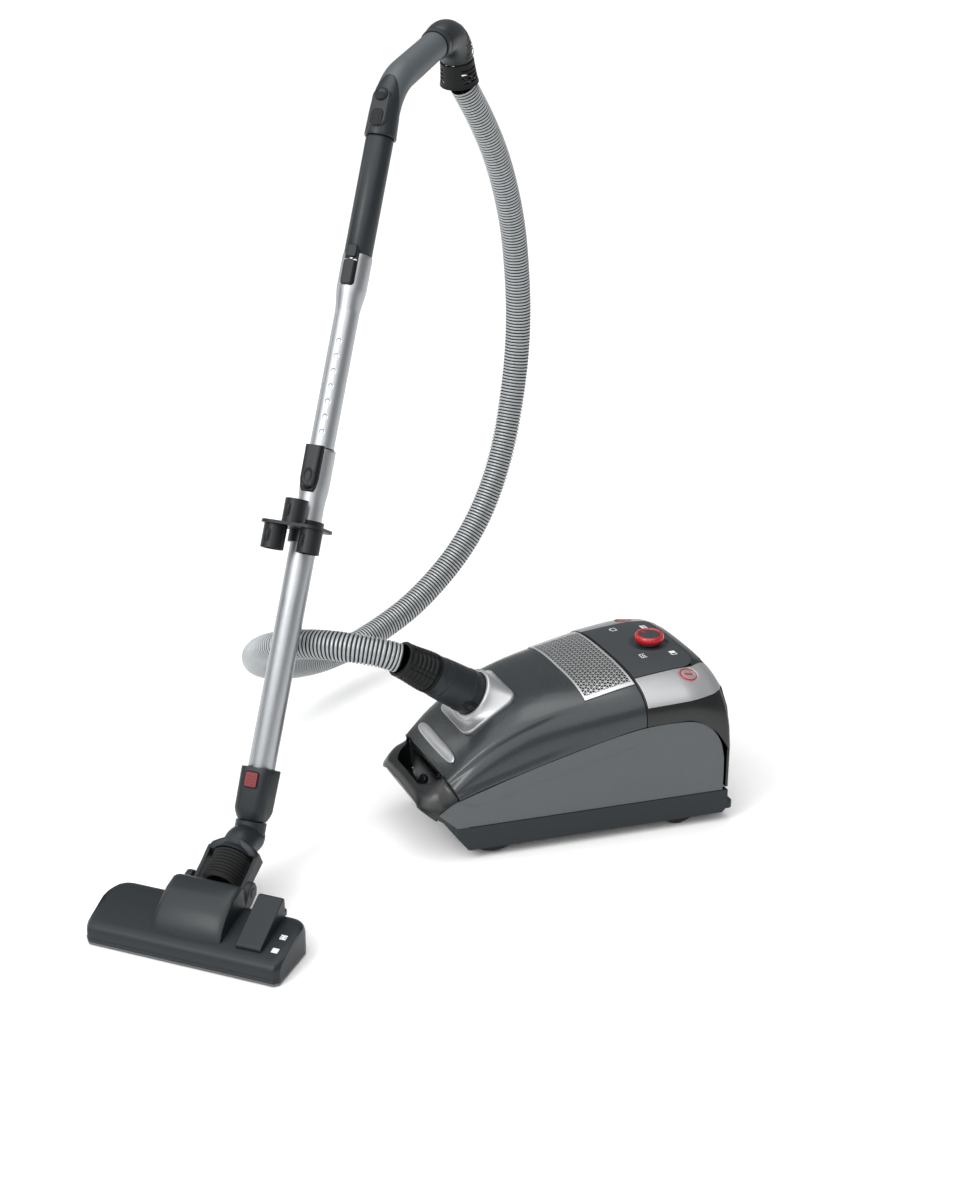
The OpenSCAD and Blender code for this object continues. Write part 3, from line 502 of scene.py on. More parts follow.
def on_section(y, run):
    """Point of the section at y, run millimetres from its crown, signed to the near side."""
    at = min(max((y - NOSE_Y) / STATION, 0), len(SECTIONS) - 1.001)
    k, part = int(at), at - int(at)
    x0, z0, run0 = SECTIONS[k]
    x1, z1, run1 = SECTIONS[k + 1]
    share = min(abs(run) / (run0[-1] * (1 - part) + run1[-1] * part), 1.0)
    x, z = (np.interp(share * run0[-1], run0, here) * (1 - part)
            + np.interp(share * run1[-1], run1, there) * part
            for here, there in ((x0, x1), (z0, z1)))
    return np.array([math.copysign(x, run), y, z])


def run_of_x(y, x):
    """Run along the section at which it is x from the middle."""
    xs, _, length = section(y)
    return math.copysign(np.interp(abs(x), xs, length), x)


def run_of_z(y, z):
    """Run along the section at which the near side comes down to height z."""
    _, zs, length = section(y)
    return float(np.interp(-z, -zs, length))


def raised(y, run, off):
    """Point of the surface moved out along its normal by off."""
    p = on_section(y, run)
    along = on_section(y, run + 0.5) - on_section(y, run - 0.5)
    back = on_section(y + 0.5, run) - on_section(y - 0.5, run)
    n = np.cross(along, back)
    return p + off * n / np.linalg.norm(n)


def patch_rows(ys, left, right, cols, off):
    """Grid of points on the surface between the runs left(y) and right(y)."""
    return [[raised(y, left(y) + (right(y) - left(y)) * j / (cols - 1), off)
             for j in range(cols)] for y in ys]


def surface_patch(name, rows, depth, material, body, replaces=None, edge=0.5):
    """Sheet of the canister's surface made into a piece of that depth."""
    rows = np.asarray(rows, float)
    faces = grid_faces(rows.shape[0], rows.shape[1])
    obj = new_object(name, rows, faces, CANISTER, material, body, replaces)
    return weighted(rounded(thick(obj, depth), edge, 3, 40))


# ---------- lid ----------

def lid_point(fraction, along):
    """Point of the lid: fraction -1 to 1 across, along 0 at the front parting to 1 at the seam."""
    y = FRONT_Y
    for _ in range(6):
        z = on_section(y, fraction * section(y)[2][-1])[2]
        y = FRONT_Y + 0.4 - 0.5 * (z - 91)
    y = y + (SEAM_Y - 0.3 - y) * along
    run = fraction * section(y)[2][-1]
    p = on_section(y, run)
    over = abs(p[0]) - np.interp(y, *CREASE)
    fade = 1 - ease((y + 60) / 90)
    depth = 3.0 * ease(over / 7.0) * fade * ease((1 - abs(fraction)) / 0.10)
    return raised(y, run, -max(depth, 0))


def lid():
    """Lid skin over the front half, and the wall behind its front edge."""
    across = np.linspace(-1, 1, 141)
    along = np.linspace(0, 1, 90)
    rows = [[lid_point(f, a) for f in across] for a in along]
    obj = new_object("lid_shell_v", rows, grid_faces(90, 141), CANISTER, "lid", "lid")
    weighted(rounded(thick(obj, 3.0), 0.8, 3, 50))
    wall_y, wall_low, wall_half = -178, 94, 80
    wall = []
    for x in np.linspace(-wall_half, wall_half, 33):
        wall_top = on_section(wall_y, run_of_x(wall_y, x))[2] - 4
        wall.append([(x, FRONT_Y + 3.4 - 0.5 * (z - 91), z)
                     for z in np.linspace(wall_low, wall_top, 8)])
    obj = new_object("lid_front_wall", wall, grid_faces(33, 8), CANISTER, "black", "lid")
    rounded(thick(obj, 2.0), 0.4)


def latch():
    """Crescent finger latch on the lid's front rim."""
    rings = []
    for t in np.linspace(-1, 1, 61):
        half = 5.6 * (max(0.0, 1 - abs(t) ** 5)) ** 0.5 + 0.05
        y = -164.2 - 1.2 * math.cos(t * math.pi / 2)
        ring = []
        for k in range(20):
            a = 2 * math.pi * k / 20
            rise = 1.2 + 2.6 * (half / 5.65) * math.sin(a)
            ring.append(raised(y + half * math.cos(a), 59.0 * t, rise))
        rings.append(ring)
    obj = lofted("lid_latch_v", rings, CANISTER, "silver", "lid_latch")
    rounded(obj, 0, smooth=60)


def triangle_grille():
    """Silver grille: a plate pierced by rows of small alternating triangles."""
    pitch, row, bar, depth, top_off = 7.0, 6.15, 0.42, 0.8, 1.3
    y0, rows, columns = 12.8, 11, 12
    start, y1 = -columns * pitch, y0 + rows * row
    points, faces = [], []

    def put(y, run, off):
        points.append(raised(y, run, off))
        return len(points) - 1

    def triangle(corners):
        centre = sum(np.array(c) for c in corners) / 3
        inner = []
        for c in corners:
            d = np.array(c) - centre
            inner.append(centre + d * (1 - 2 * bar / np.linalg.norm(d)))
        out = [put(y, run, top_off) for run, y in corners]
        top = [put(y, run, top_off) for run, y in inner]
        deep = [put(y, run, top_off - depth) for run, y in inner]
        for k in range(3):
            n = (k + 1) % 3
            faces.append((out[k], out[n], top[n], top[k]))
            faces.append((top[k], top[n], deep[n], deep[k]))

    for i in range(rows):
        for j in range(4 * columns):
            flip = (i + j) % 2
            a = start + j * pitch / 2
            low, high = y0 + i * row, y0 + (i + 1) * row
            if flip:
                triangle([(a, high), (a + pitch / 2, low), (a + pitch, high)])
            else:
                triangle([(a, low), (a + pitch, low), (a + pitch / 2, high)])
    obj = new_object("lid_grille_v", points, faces, CANISTER, "grille", "lid")
    weld = obj.modifiers.new("weld", "WELD")
    weld.merge_threshold = 0.00002
    applied(obj)
    end = start + (4 * columns + 1) * pitch / 2
    limit = max(abs(start), end)
    for name, ends, sides, cells in (
            ("near", (y0 - 2.6, y1 + 2.6), (end - pitch / 2 - 0.4, limit + 3), (24, 4)),
            ("far", (y0 - 2.6, y1 + 2.6), (-limit - 3, start + pitch / 2 + 0.4), (24, 4)),
            ("front", (y0 - 2.6, y0 + 0.4), (-limit - 2, limit + 2), (4, 60)),
            ("back", (y1 - 0.4, y1 + 2.6), (-limit - 2, limit + 2), (4, 60))):
        rim = patch_rows(np.linspace(*ends, cells[0]), lambda y: sides[0], lambda y: sides[1],
                         cells[1], 1.5)
        surface_patch("grille_rim_" + name, rim, 1.4, "grille", "lid", edge=0.4)
    under = patch_rows(np.linspace(y0 - 2, y1 + 2, 16), lambda y: -limit, lambda y: limit, 60, 0.15)
    surface_patch("grille_mesh_shadow", under, 0.1, "black", "lid", edge=0)


def surround():
    """Inlet ring that flares into a round-cornered plate lying on the lid."""
    sides = 96
    ring_to_plate = np.array(PLATE.inverted() @ INLET)
    corners = round_rect(94, 86, 15, 12)
    outline = even(np.array([p + (0.0,) for p in corners + corners[:1]]), 0.5)
    angles = np.unwrap(np.arctan2(outline[:, 1], outline[:, 0]))
    order = np.argsort(angles)
    first = angles[order][0]

    def inlet_ring(r, z):
        return np.array([(ring_to_plate @ np.array([*p, 1.0]))[:3] for p in circle(r, z, sides)])

    def plate(scale, z):
        grown = outline[order] * scale
        at = [(a - first) % (2 * math.pi) + first for a in around(sides)]
        x, y = (np.interp(at, angles[order], grown[:, c]) for c in (0, 1))
        return np.stack([x, y, np.full(sides, z)], 1)

    top, flare, foot = inlet_ring(35.2, 7.0), inlet_ring(36.0, -2.0), plate(0.985, 0.9)
    rings = [inlet_ring(30.3, -20.0), inlet_ring(30.3, 6.6), inlet_ring(30.9, 7.8),
             inlet_ring(34.0, 8.0), top]
    for t in np.linspace(0.12, 1, 12):
        w = ease(t) * 0.35 + t * 0.65
        bend = flare * 0.72 + foot * 0.28
        rings.append(top * (1 - w) ** 2 + 2 * w * (1 - w) * bend + foot * w ** 2)
    rings += [plate(1.0, 0.1), plate(1.0, -2.6), plate(0.97, -8.0)]
    obj = lofted("inlet_surround_v", rings, PLATE, "silver", "lid", caps=False)
    rounded(obj, 0, smooth=50)


# ---------- front, sides and rear ----------

def front_low(y):
    """Lower edge of the nose piece at y."""
    return max(48.6, 76 - (y - NOSE_Y) * 0.75)


def height_at(x, y, low):
    """Height of the rounded section over x when its foot is at low."""
    u = min(1.0, abs(x) / float(flank(y)))
    return low + (float(crown(y)) - low) * (1 - u ** 3) ** (1 / 3)


def bezel_lines():
    """Plan lines of the nose piece: its skirt, and the inner edge of its rim."""
    outer, inner = [], []
    for t in np.linspace(-1, 1, 121):
        s, k = abs(t), math.copysign(1, t)
        if s < 0.34:
            outer.append((58 * t / 0.34, NOSE_Y))
        else:
            y = NOSE_Y + (FRONT_Y - 0.6 - NOSE_Y) * ((s - 0.34) / 0.66) ** 1.6
            outer.append((k * min(float(flank(y)), 90.2 + 0.1275 * (y + 155)), y))
        a = (s - 0.30) / 0.35
        if s < 0.30:
            inner.append((30 * t / 0.30, -207.0))
        elif a < 1:
            b = a * math.pi / 2
            inner.append((k * (30 + 28 * math.sin(b)), -207.0 + 28 * (1 - math.cos(b))))
        else:
            inner.append((k * 58.0, -179.0 + 8.4 * (s - 0.65) / 0.35))
    return zip(outer, inner)


def bezel():
    """Nose piece: outer skirt, round rim and the bowl of the finger recess."""
    rings = []
    for (ox, oy), (ix, iy) in bezel_lines():
        ring = [(ox * 0.95, oy + 2, front_low(oy) + 0.4)]
        for w in np.linspace(0, 1, 15) ** 2.4:
            x, y = ox + (ix - ox) * w, oy + (iy - oy) * w
            lift = 5.0 * ease(w / 0.4) * (1 - ease((y + 200) / 22))
            z = height_at(x, y, front_low(y)) + lift
            parting_y = FRONT_Y - 0.5 - 0.5 * (z - 91)
            ring.append((x, min(y, parting_y) if abs(x) > 57 else y, z))
        rim = ring[-1]
        inward = np.array([-ix, -186 - iy]) / max(1e-6, math.hypot(ix, -186 - iy))
        for d, drop in ((0.8, 0.25), (1.8, 1.1), (2.4, 2.4), (3.2, 8), (4.6, 18), (7, 28),
                        (12, 36), (20, 41), (32, 43)):
            z = rim[2] - drop
            ring.append((rim[0] + inward[0] * d, rim[1] + inward[1] * d, max(z, 57.5)))
        rings.append(ring)
    rows, cols = len(rings), len(rings[0])
    faces = grid_faces(rows, cols)
    points = [p for ring in rings for p in ring]
    points.append((0, -186, 57.0))
    centre = len(points) - 1
    for i in range(rows - 1):
        faces.append((i * cols + cols - 1, centre, (i + 1) * cols + cols - 1))
    obj = new_object("front_bezel_v", points, faces, CANISTER, "gloss", "canister")
    rounded(obj, 0, smooth=60)
    recess()


def recess():
    """Back wall of the finger recess and the hook inside it."""
    back = [[(x, -172.5, z) for z in np.linspace(52, 92, 6)] for x in np.linspace(-62, 62, 12)]
    obj = new_object("recess_back", back, grid_faces(12, 6), CANISTER, "black", "canister")
    rounded(thick(obj, 1.5), 0.3)
    hook = prism("recess_hook", round_rect(16, 26, 6), 0, 7,
                 CANISTER @ move(-4, -182, 70) @ turn(x=62), "dark", "canister")
    weighted(rounded(hook, 2.0, 4))


PANEL_LINE = [(-199, 71), (-171, 88), (-128, 103), (-80, 118.5), (-25, 134), (31, 148.5),
              (88, 159.0), (140, 160.0), (166, 154), (184, 140), (195, 121), (200, 98)]
RIDGE_LINE = [(-168, 84.0), (-150, 78), (-120, 82), (-60, 100), (0, 114.5), (50, 126),
              (74, 134), (84, 146), (88, 155)]


def side_panel(name, sign):
    """Flared side panel with its soft raised line; sign is -1 on the far side."""
    flare = math.degrees(math.atan(45 / 353))
    place = CANISTER @ flipped(sign) @ move(93.6, -155, 0) @ turn(z=-flare)
    top = even(smooth_line([p + (0.0,) for p in PANEL_LINE], 10), 3.0)
    base = 48.6
    columns = []
    ridge = smooth_line([p + (0.0,) for p in RIDGE_LINE], 12)[:, :2]
    for k, (y, z, _) in enumerate(top):
        y0 = y + (2.0 if k == 0 else 0.0)
        foot_y = -173 + (y + 199) * (373.5 / 399)
        column = []
        for t in np.linspace(0, 1, 44):
            q = np.array([foot_y + (y0 - foot_y) * t, base + (z - base) * t])
            near = float(np.min(np.linalg.norm(ridge - q, axis=1)))
            edge = min(t, 1 - t) * (z - base)
            swell = 1.7 * math.exp(-(near / 2.4) ** 2) + 0.8 * ease(edge / 26) - 0.8
            column.append((swell, q[0] + 155, q[1]))
        columns.append(column)
    faces = grid_faces(len(columns), 44)
    if sign > 0:
        faces = [f[::-1] for f in faces]
    obj = new_object(name + "_v", columns, faces, place, "panel", "canister")
    weighted(rounded(thick(obj, 2.6), 0.9, 4, 50))


def rear_shell():
    """Rear cover with a shallow seat for the console, and the deck behind it."""
    ys = list(np.linspace(SEAM_Y + 0.6, 196, 46)) + [198, 200, 202, 203.4, 204.2]
    rows = []
    for y in ys:
        length = section(y)[2][-1]
        row = []
        for f in np.linspace(-1, 1, 121):
            run = f * length
            x = on_section(y, run)[0]
            sink = 5.0 * ease((76 - abs(x)) / 5) * ease((y - 91) / 4) * ease((181 - y) / 5)
            over = max(0.0, (y - 198) / 6.2)
            row.append(raised(y, run, -sink - 2.0 * over ** 3))
        rows.append(row)
    obj = new_object("rear_cover_v", rows, grid_faces(len(ys), 121), CANISTER, "gloss", "canister")
    weighted(rounded(thick(obj, 2.6), 0.7, 3, 50))
    deck_rows = patch_rows(np.linspace(176, 201, 14), lambda y: -run_of_x(y, 96),
                           lambda y: run_of_x(y, 79), 60, 1.1)
    surface_patch("rear_deck", deck_rows, 2.4, "slate", "canister", edge=0.8)


def console():
    """Grey control panel with round rear corners and a dished well for the knob."""
    front, back, corner = 87.4, 184.0, 26.0

    def side(y):
        cut = max(0.0, y - (back - corner))
        return 79.0 - corner + math.sqrt(max(0.0, corner ** 2 - cut ** 2))

    ys = list(np.linspace(front, back - corner, 34)) + [
        back - corner + corner * math.sin(a) for a in np.linspace(0.06, math.pi / 2 - 0.03, 20)]
    rows = []
    for y in ys:
        row = []
        for j in range(81):
            x = side(y) * (2 * j / 80 - 1)
            away = math.hypot(x - KNOB_AT[0], y - KNOB_AT[1])
            dish = -3.2 * (1 - ease((away - 20) / 9)) + 0.5 * math.exp(-((away - 30) / 2.2) ** 2)
            row.append(raised(y, run_of_x(y, x), 1.5 + dish))
        rows.append(row)
    surface_patch("control_panel_v", rows, 1.3, "console", "canister", edge=0.5)


def rear_rim():
    """Slate strip behind the console and the two steps of the parking bracket."""
    ys = np.linspace(185.6, 203.4, 14)

    def wide(y):
        return run_of_x(y, 66 - 14 * ease((y - 186) / 18))

    rows = patch_rows(ys, lambda y: -wide(y), wide, 50, 1.5)
    surface_patch("rear_rim", rows, 1.3, "lid", "canister", edge=0.5)
    for k, (x0, x1, top, back) in enumerate(((2, 26, 195, 216), (28, 50, 189, 217))):
        rings = [[(x, 198, top + 6 - 0.16 * x), (x, back - 2, top + 1), (x, back, top - 2),
                  (x, back - 0.5, top - 13), (x, 203, top - 22), (x, 198, top - 22)]
                 for x in (x0, x1)]
        step = lofted("parking_step_%d" % (k + 1), rings, CANISTER, "slate", "canister")
        weighted(rounded(step, 1.0, 3))


ICONS = [(-59, 127), (-49, 169), (42, 166), (35, 124)]
ICON_FACES = [(4, 5, 6, 7), (0, 1, 5, 4), (1, 2, 6, 5), (2, 3, 7, 6), (3, 0, 4, 7)]


def icons():
    """Small printed marks round the knob: a rug, a sofa, a curtain and a hard floor."""
    shapes = [
        [(-4, -3, 4, -2.2), (-4, 2.2, 4, 3), (-4, -3, -3.2, 3), (3.2, -3, 4, 3), (-1, -4.2, 1, -3)],
        [(-4.4, -3, 4.4, -0.6), (-4.4, 0.2, 4.4, 1.2), (-4.4, 2, 4.4, 3)],
        [(-4, -3.2, 0.8, 3.2), (1.6, -3.2, 4, -2.3), (1.6, 2.3, 4, 3.2), (3.2, -3.2, 4, 3.2)],
        [(-4, -3, -3.2, 3), (3.2, -3, 4, 3), (-4, -3, 4, -2.2), (-2, -0.4, 2, 0.4),
         (-1.2, 1.2, 2.4, 2)],
    ]
    for k, ((cx, cy), bars) in enumerate(zip(ICONS, shapes)):
        points, faces = [], []
        for bar in bars:
            x0, y0, x1, y1 = (1.35 * v for v in bar)
            first = len(points)
            for off in (1.45, 1.62):
                for x, y in ((x0, y0), (x1, y0), (x1, y1), (x0, y1)):
                    points.append(raised(cy + y, run_of_x(cy + y, cx + x), off))
            faces += [tuple(first + k for k in face) for face in ICON_FACES]
        new_object("console_icon_%d" % (k + 1), points, faces, CANISTER, "icon", "canister")


def silver_wings():
    """Silver band beside the console: a wide wedge near the lid, thin towards the rear."""
    def inner(y):
        return run_of_x(y, 80.4 - 12 * ease((y - 168) / 36))

    def outer(y):
        return run_of_z(y, 186.5 + 3.5 * (y - 90) / 100)

    for name, sign in (("near", 1), ("far", -1)):
        rows = []
        for y in np.linspace(87.6, 202.5, 60):
            a, b = inner(y), outer(y)
            row = []
            for j in range(30):
                run = a + (b - a) * j / 29
                p = on_section(y, run)
                local = np.array(BUTTON.inverted() @ CANISTER @ Vector((abs(p[0]), p[1], p[2])))
                away = math.hypot(local[0], local[1])
                dip = -0.8 * (1 - ease((away - 11.6) / 1.4))
                row.append(raised(y, sign * run, 1.5 + dip))
            rows.append(row if sign > 0 else row[::-1])
        surface_patch("silver_frame_" + name, rows, 1.6, "silver", "canister",
                      replaces=["silver_frame"] if sign > 0 else (), edge=0.6)


def push_button(name, sign):
    """Round button in the silver band: a bar mark on the near one, an arrow on the far one."""
    near = sign > 0
    place = CANISTER @ flipped(sign) @ CANISTER.inverted() @ BUTTON
    lathed(name + "_v", [(0.01, 2.4), (7, 2.35), (10.4, 2.2), (11.6, 1.6), (11.9, 0.6),
                         (11.9, -5.5), (0.01, -5.5)],
           place, "silver", name, closed=False, smooth=50)
    lathed(name + "_ring", [(10.2, 1.2), (10.4, 2.7), (10.9, 2.95), (11.7, 2.9), (12.2, 2.5),
                            (12.3, 0.2), (10.2, 0.2)], place, "red" if near else "dull_red",
           name, smooth=50)
    outline = round_rect(2.8, 11.0, 0.9, 4) if near else [(-4.5, -3), (4.5, -3), (0, 4.5)]
    mark = prism(name + "_mark", outline, 2.0, 2.9 if near else 2.8,
                 place @ turn(z=-12 if near else 0), "red", name)
    rounded(mark, 0.15)


def knob():
    """Suction knob: a fluted red ring, a grey cap and a red pointer."""
    place = CANISTER @ move(KNOB_AT[0], KNOB_AT[1], 219.0)
    profile = [(15.0, 3.0), (18.6, 3.2), (19.8, 4.4), (20.4, 6.4), (20.3, 9.0), (19.6, 11.4),
               (18.4, 12.8), (16.9, 13.3), (15.9, 13.0), (15.5, 12.0), (15.0, 11.8)]
    sides, flutes = 144, 24
    rings = []
    for r, z in profile:
        flute = 0.3 if r > 19.7 else 0.0
        ring = []
        for a in around(sides):
            out = r - flute * (0.5 + 0.5 * math.cos(flutes * a))
            ring.append((out * math.cos(a), out * math.sin(a), z))
        rings.append(ring)
    obj = new_object("knob_ring_v", rings, grid_faces(len(rings), sides, True, True), place, "red",
                     "knob")
    rounded(obj, 0, smooth=55)
    lathed("knob_cap_v", [(0.01, 12.6), (10.0, 12.5), (14.2, 12.3), (15.2, 11.9), (15.4, 10.8),
                          (15.4, 3.6), (16.8, 3.4), (16.8, 0.6), (0.01, 0.6)], place, "console",
           "knob", closed=False, smooth=50)
    mark = prism("knob_pointer", [(-1.5, -3.2), (1.5, -3.2), (0.9, 3.6), (-0.9, 3.6)], 12.3, 12.9,
                 place @ turn(z=118) @ move(0, 9.6, 0), "red", "knob")
    rounded(mark, 0.2)


# ---------- hose and its connector ----------

def turning_frames(line):
    """Tangents along the line, and normals that turn as little as they can."""
    tangents = np.gradient(line, axis=0)
    tangents /= np.linalg.norm(tangents, axis=1)[:, None]
    up = np.array([0.3, 1.0, 0.2])
    normals = []
    for t in tangents:
        up = up - t * (up @ t)
        up /= np.linalg.norm(up)
        normals.append(up)
    return tangents, np.array(normals)


HOSE_WAVE = [(0.0, -2.3, 1), (0.26, -2.3, 1), (0.34, -0.7, 0), (0.42, -0.12, 0),
             (0.54, 0.0, 0), (0.76, 0.0, 0), (0.88, -0.12, 0), (0.97, -0.8, 1)]


def hose():
    """Ribbed hose along its route: each step of the wave is (share of a rib, rise, groove)."""
    line = even(smooth_line(HOSE_ROUTE, 24), 0.5)
    step = np.sum(np.linalg.norm(np.diff(line, axis=0), axis=1)) / (len(line) - 1)
    run = np.arange(len(line)) * step
    steps = [((k + part) * HOSE_PITCH, rise, groove)
             for k in range(int(run[-1] / HOSE_PITCH)) for part, rise, groove in HOSE_WAVE]
    at, rise, groove = np.array(steps).T

    def along_run(values):
        return np.stack([np.interp(at, run, values[:, c]) for c in range(3)], 1)

    centre = along_run(line)
    tangent, side = (along_run(v) for v in turning_frames(line))
    across = np.cross(tangent, side)
    sides = 40
    a = around(sides)[None, :, None]
    spokes = np.cos(a) * side[:, None, :] + np.sin(a) * across[:, None, :]
    points = centre[:, None, :] + (HOSE_R + rise)[:, None, None] * spokes
    obj = new_object("hose_v", points, grid_faces(len(at), sides, wrap_cols=True), CANISTER,
                     ["ring", "groove"], "canister")
    obj.data.polygons.foreach_set("material_index", np.repeat(groove[:-1], sides).astype(int))
    rounded(obj, 0, smooth=50)
    bend_across(obj)


def connector():
    """Swivelling hose end in the inlet, with its latch."""
    lathed("hose_connector_v", [
        (23.0, -20), (29.6, -20), (29.9, -18), (29.9, 20), (30.2, 21), (30.2, 23), (29.6, 24),
        (29.3, 26), (28.6, 52), (28.0, 60), (27.6, 61), (27.9, 62.5), (27.9, 65), (27.4, 66),
        (27.0, 72), (26.6, 78.2), (23.0, 78.2)], INLET, "slate", "hose_connector", smooth=32)
    for name, z, outline, depth, material, edge in (
            ("connector_latch", 16, (15, 20, 5), 2.6, "black", 0.8),
            ("connector_latch_key", 15, (7, 9, 2.4), 3.6, "slate", 0.7)):
        place = INLET @ turn(z=-22) @ move(28.2, 0, z) @ turn(y=90) @ turn(z=90)
        pad = prism(name, round_rect(*outline), 0, depth, place, material, "hose_connector")
        weighted(rounded(pad, edge))


def cuff():
    """Ribbed and notched cuff that narrows from the connector to the hose."""
    profile = [(20.6, 79), (26.6, 79), (27.2, 79.6), (27.2, 82)]
    for k in range(6):
        z = 83.4 + 6.6 * k
        profile += [(25.6, z - 1.0), (25.6, z + 0.2), (27.1, z + 0.8), (27.4, z + 1.6),
                    (27.4, z + 3.6), (27.0, z + 4.4)]
    profile += [(25.8, 123.6), (26.6, 124.2), (27.3, 125), (27.3, 129.2), (26.6, 130), (20.6, 130)]
    sides = 120
    rings = []
    for r, z in profile:
        r -= 3.2 * ease((z - 80) / 46) if r > 21 else 0.6
        ring = []
        for j, a in enumerate(around(sides)):
            out = r - (1.7 if r > 23 and j % 20 < 5 and 84 < z < 121 else 0.0)
            ring.append((out * math.cos(a), out * math.sin(a), z))
        rings.append(ring)
    obj = new_object("hose_cuff_v", rings, grid_faces(len(rings), sides, True, True), INLET,
                     "black", "hose_connector")
    rounded(obj, 0, smooth=35)


# ---------- handle ----------

BEND_END = BEND_S + GRIP_BEND * math.radians(GRIP_TURN)
ELBOW_START = BEND_END + GRIP_RUN
ELBOW_END = ELBOW_START + ELBOW_BEND * math.radians(ELBOW_TURN)


def handle_axis(s):
    """Point of the handle's centre line, s along it, and the lean of the line there."""
    s1 = min(s, BEND_S)
    y, z, lean = 0.0, s1, 0.0
    if s > BEND_S:
        lean = math.radians(GRIP_TURN) * min(1.0, (s - BEND_S) / (BEND_END - BEND_S))
        y += GRIP_BEND * (1 - math.cos(lean))
        z += GRIP_BEND * math.sin(lean)
    if s > BEND_END:
        step = min(s, ELBOW_START) - BEND_END
        y += step * math.sin(lean)
        z += step * math.cos(lean)
    if s > ELBOW_START:
        more = math.radians(ELBOW_TURN) * min(1.0, (s - ELBOW_START) / (ELBOW_END - ELBOW_START))
        total = lean + more
        y += ELBOW_BEND * (math.cos(lean) - math.cos(total))
        z += ELBOW_BEND * (math.sin(total) - math.sin(lean))
        lean = total
    if s > ELBOW_END:
        y += (s - ELBOW_END) * math.sin(lean)
        z += (s - ELBOW_END) * math.cos(lean)
    return y, z, lean


def handle_point(s, angle, r):
    """Point round the handle; angle 0 is to the right, -90 degrees the outer front side."""
    y, z, lean = handle_axis(s)
    out = r * math.sin(angle)
    return (r * math.cos(angle), y + out * math.cos(lean), z - out * math.sin(lean))


def handle_place(s):
    """Frame on the handle's centre line at s, its z along the line."""
    y, z, lean = handle_axis(s)
    return WAND @ move(0, y, z) @ turn(x=-math.degrees(lean))


def handle_tube(name, stations, material, body, sides=96, edge=None, smooth=40):
    """Tube along the handle; stations are (s, outer r, inner r).

    edge gives s instead at an angle and a share of the tube's length."""
    first, last = stations[0][0], stations[-1][0]

    def ring(s, r):
        share = (s - first) / (last - first)
        return [handle_point(edge(a, share) if edge else s, a, r) for a in around(sides)]

    rings = [ring(s, outer) for s, outer, _ in stations]
    rings += [ring(s, inner) for s, _, inner in stations[::-1]]
    obj = new_object(name, rings, grid_faces(len(rings), sides, True, True), WAND, material, body)
    return rounded(obj, 0, smooth=smooth)


def pipe():
    """Straight pipe below the grip, and its spigot in the wand."""
    handle_tube("handle_pipe_v", [(SOCKET_S + 0.6, 18.2, 14), (SOCKET_S + 1.2, PIPE_R, 14),
                                  (SLEEVE_S - 1.6, PIPE_R, 14), (SLEEVE_S - 0.6, 18.0, 14)],
                "handle", "wand")
    lathed("pipe_spigot", [(15.3, SOCKET_S - 50), (15.3, SOCKET_S), (13.5, SOCKET_S),
                           (13.5, SOCKET_S - 50)], WAND, "dark", "wand")


def sleeve():
    """Dark sleeve whose upper edge runs high on the front and low at the back."""
    def saddle(a, share):
        front = 0.5 - 0.5 * math.sin(a)
        top = 908 + 70 * front ** 1.5 + 6 * math.cos(a) ** 2
        return SLEEVE_S + (top - SLEEVE_S) * share

    stations = []
    for t in np.linspace(0, 1, 30):
        r = 21.4 - 1.2 * t - (0.7 if t in (0.0, 1.0) else 0.0)
        stations.append((SLEEVE_S + 70 * t, r, 19.7 if t > 0.02 else 18.6))
    handle_tube("control_sleeve_v", stations, "handle", "wand", edge=saddle, smooth=50)


def front_pad(name, size, s, rise, depth, material, body, edge=0.9):
    """Pad on the outer front side of the handle or wand at s; size is its width, height, radius."""
    place = handle_place(s) @ turn(x=90)
    obj = prism(name, round_rect(*size, 10), rise, rise + depth, place, material, body)
    weighted(rounded(obj, edge, 4, 40))
    return place


def handle_controls():
    """Raised boss on the sleeve with its round button, and the ribbed air slide below it."""
    front_pad("sleeve_boss", (25, 52, 11), 934, 14.0, 8.4, "handle", "wand", edge=2.2)
    lathed("sleeve_button_v", [(0.01, 24.2), (5.2, 24.1), (6.4, 24.5), (7.6, 25.3), (8.6, 25.3),
                               (9.2, 24.5), (9.3, 21.2), (0.01, 21.2)],
           handle_place(948) @ turn(x=90), "black", "sleeve_button", closed=False, sides=60,
           smooth=40)
    slide = front_pad("bypass_slide_v", (17, 23, 6.8), 921, 20.2, 4.0, "black", "bypass_slide",
                      edge=1.4)
    for k in range(5):
        rib = prism("bypass_rib_%d" % (k + 1), round_rect(7.6 - 0.6 * abs(k - 2), 1.1, 0.5, 3),
                    24.1, 24.9, slide @ move(0, 2.7 * (k - 2), 0), "dark", "bypass_slide")
        rounded(rib, 0.2)


def grip():
    """Grey grip that swells a little in the hand."""
    bore = 15.6
    stations = [(906, 19.0, bore), (908, GRIP_R, bore)]
    stations += [(s, GRIP_R + 0.5 * ease((s - 950) / 60) - 0.5 * ease((s - 1030) / 70), bore)
                 for s in np.linspace(915, 1118, 60)]
    stations += [(1120.4, 19.2, bore), (1121.2, 18.6, bore)]
    handle_tube("grip_v", stations, "grip", "wand")


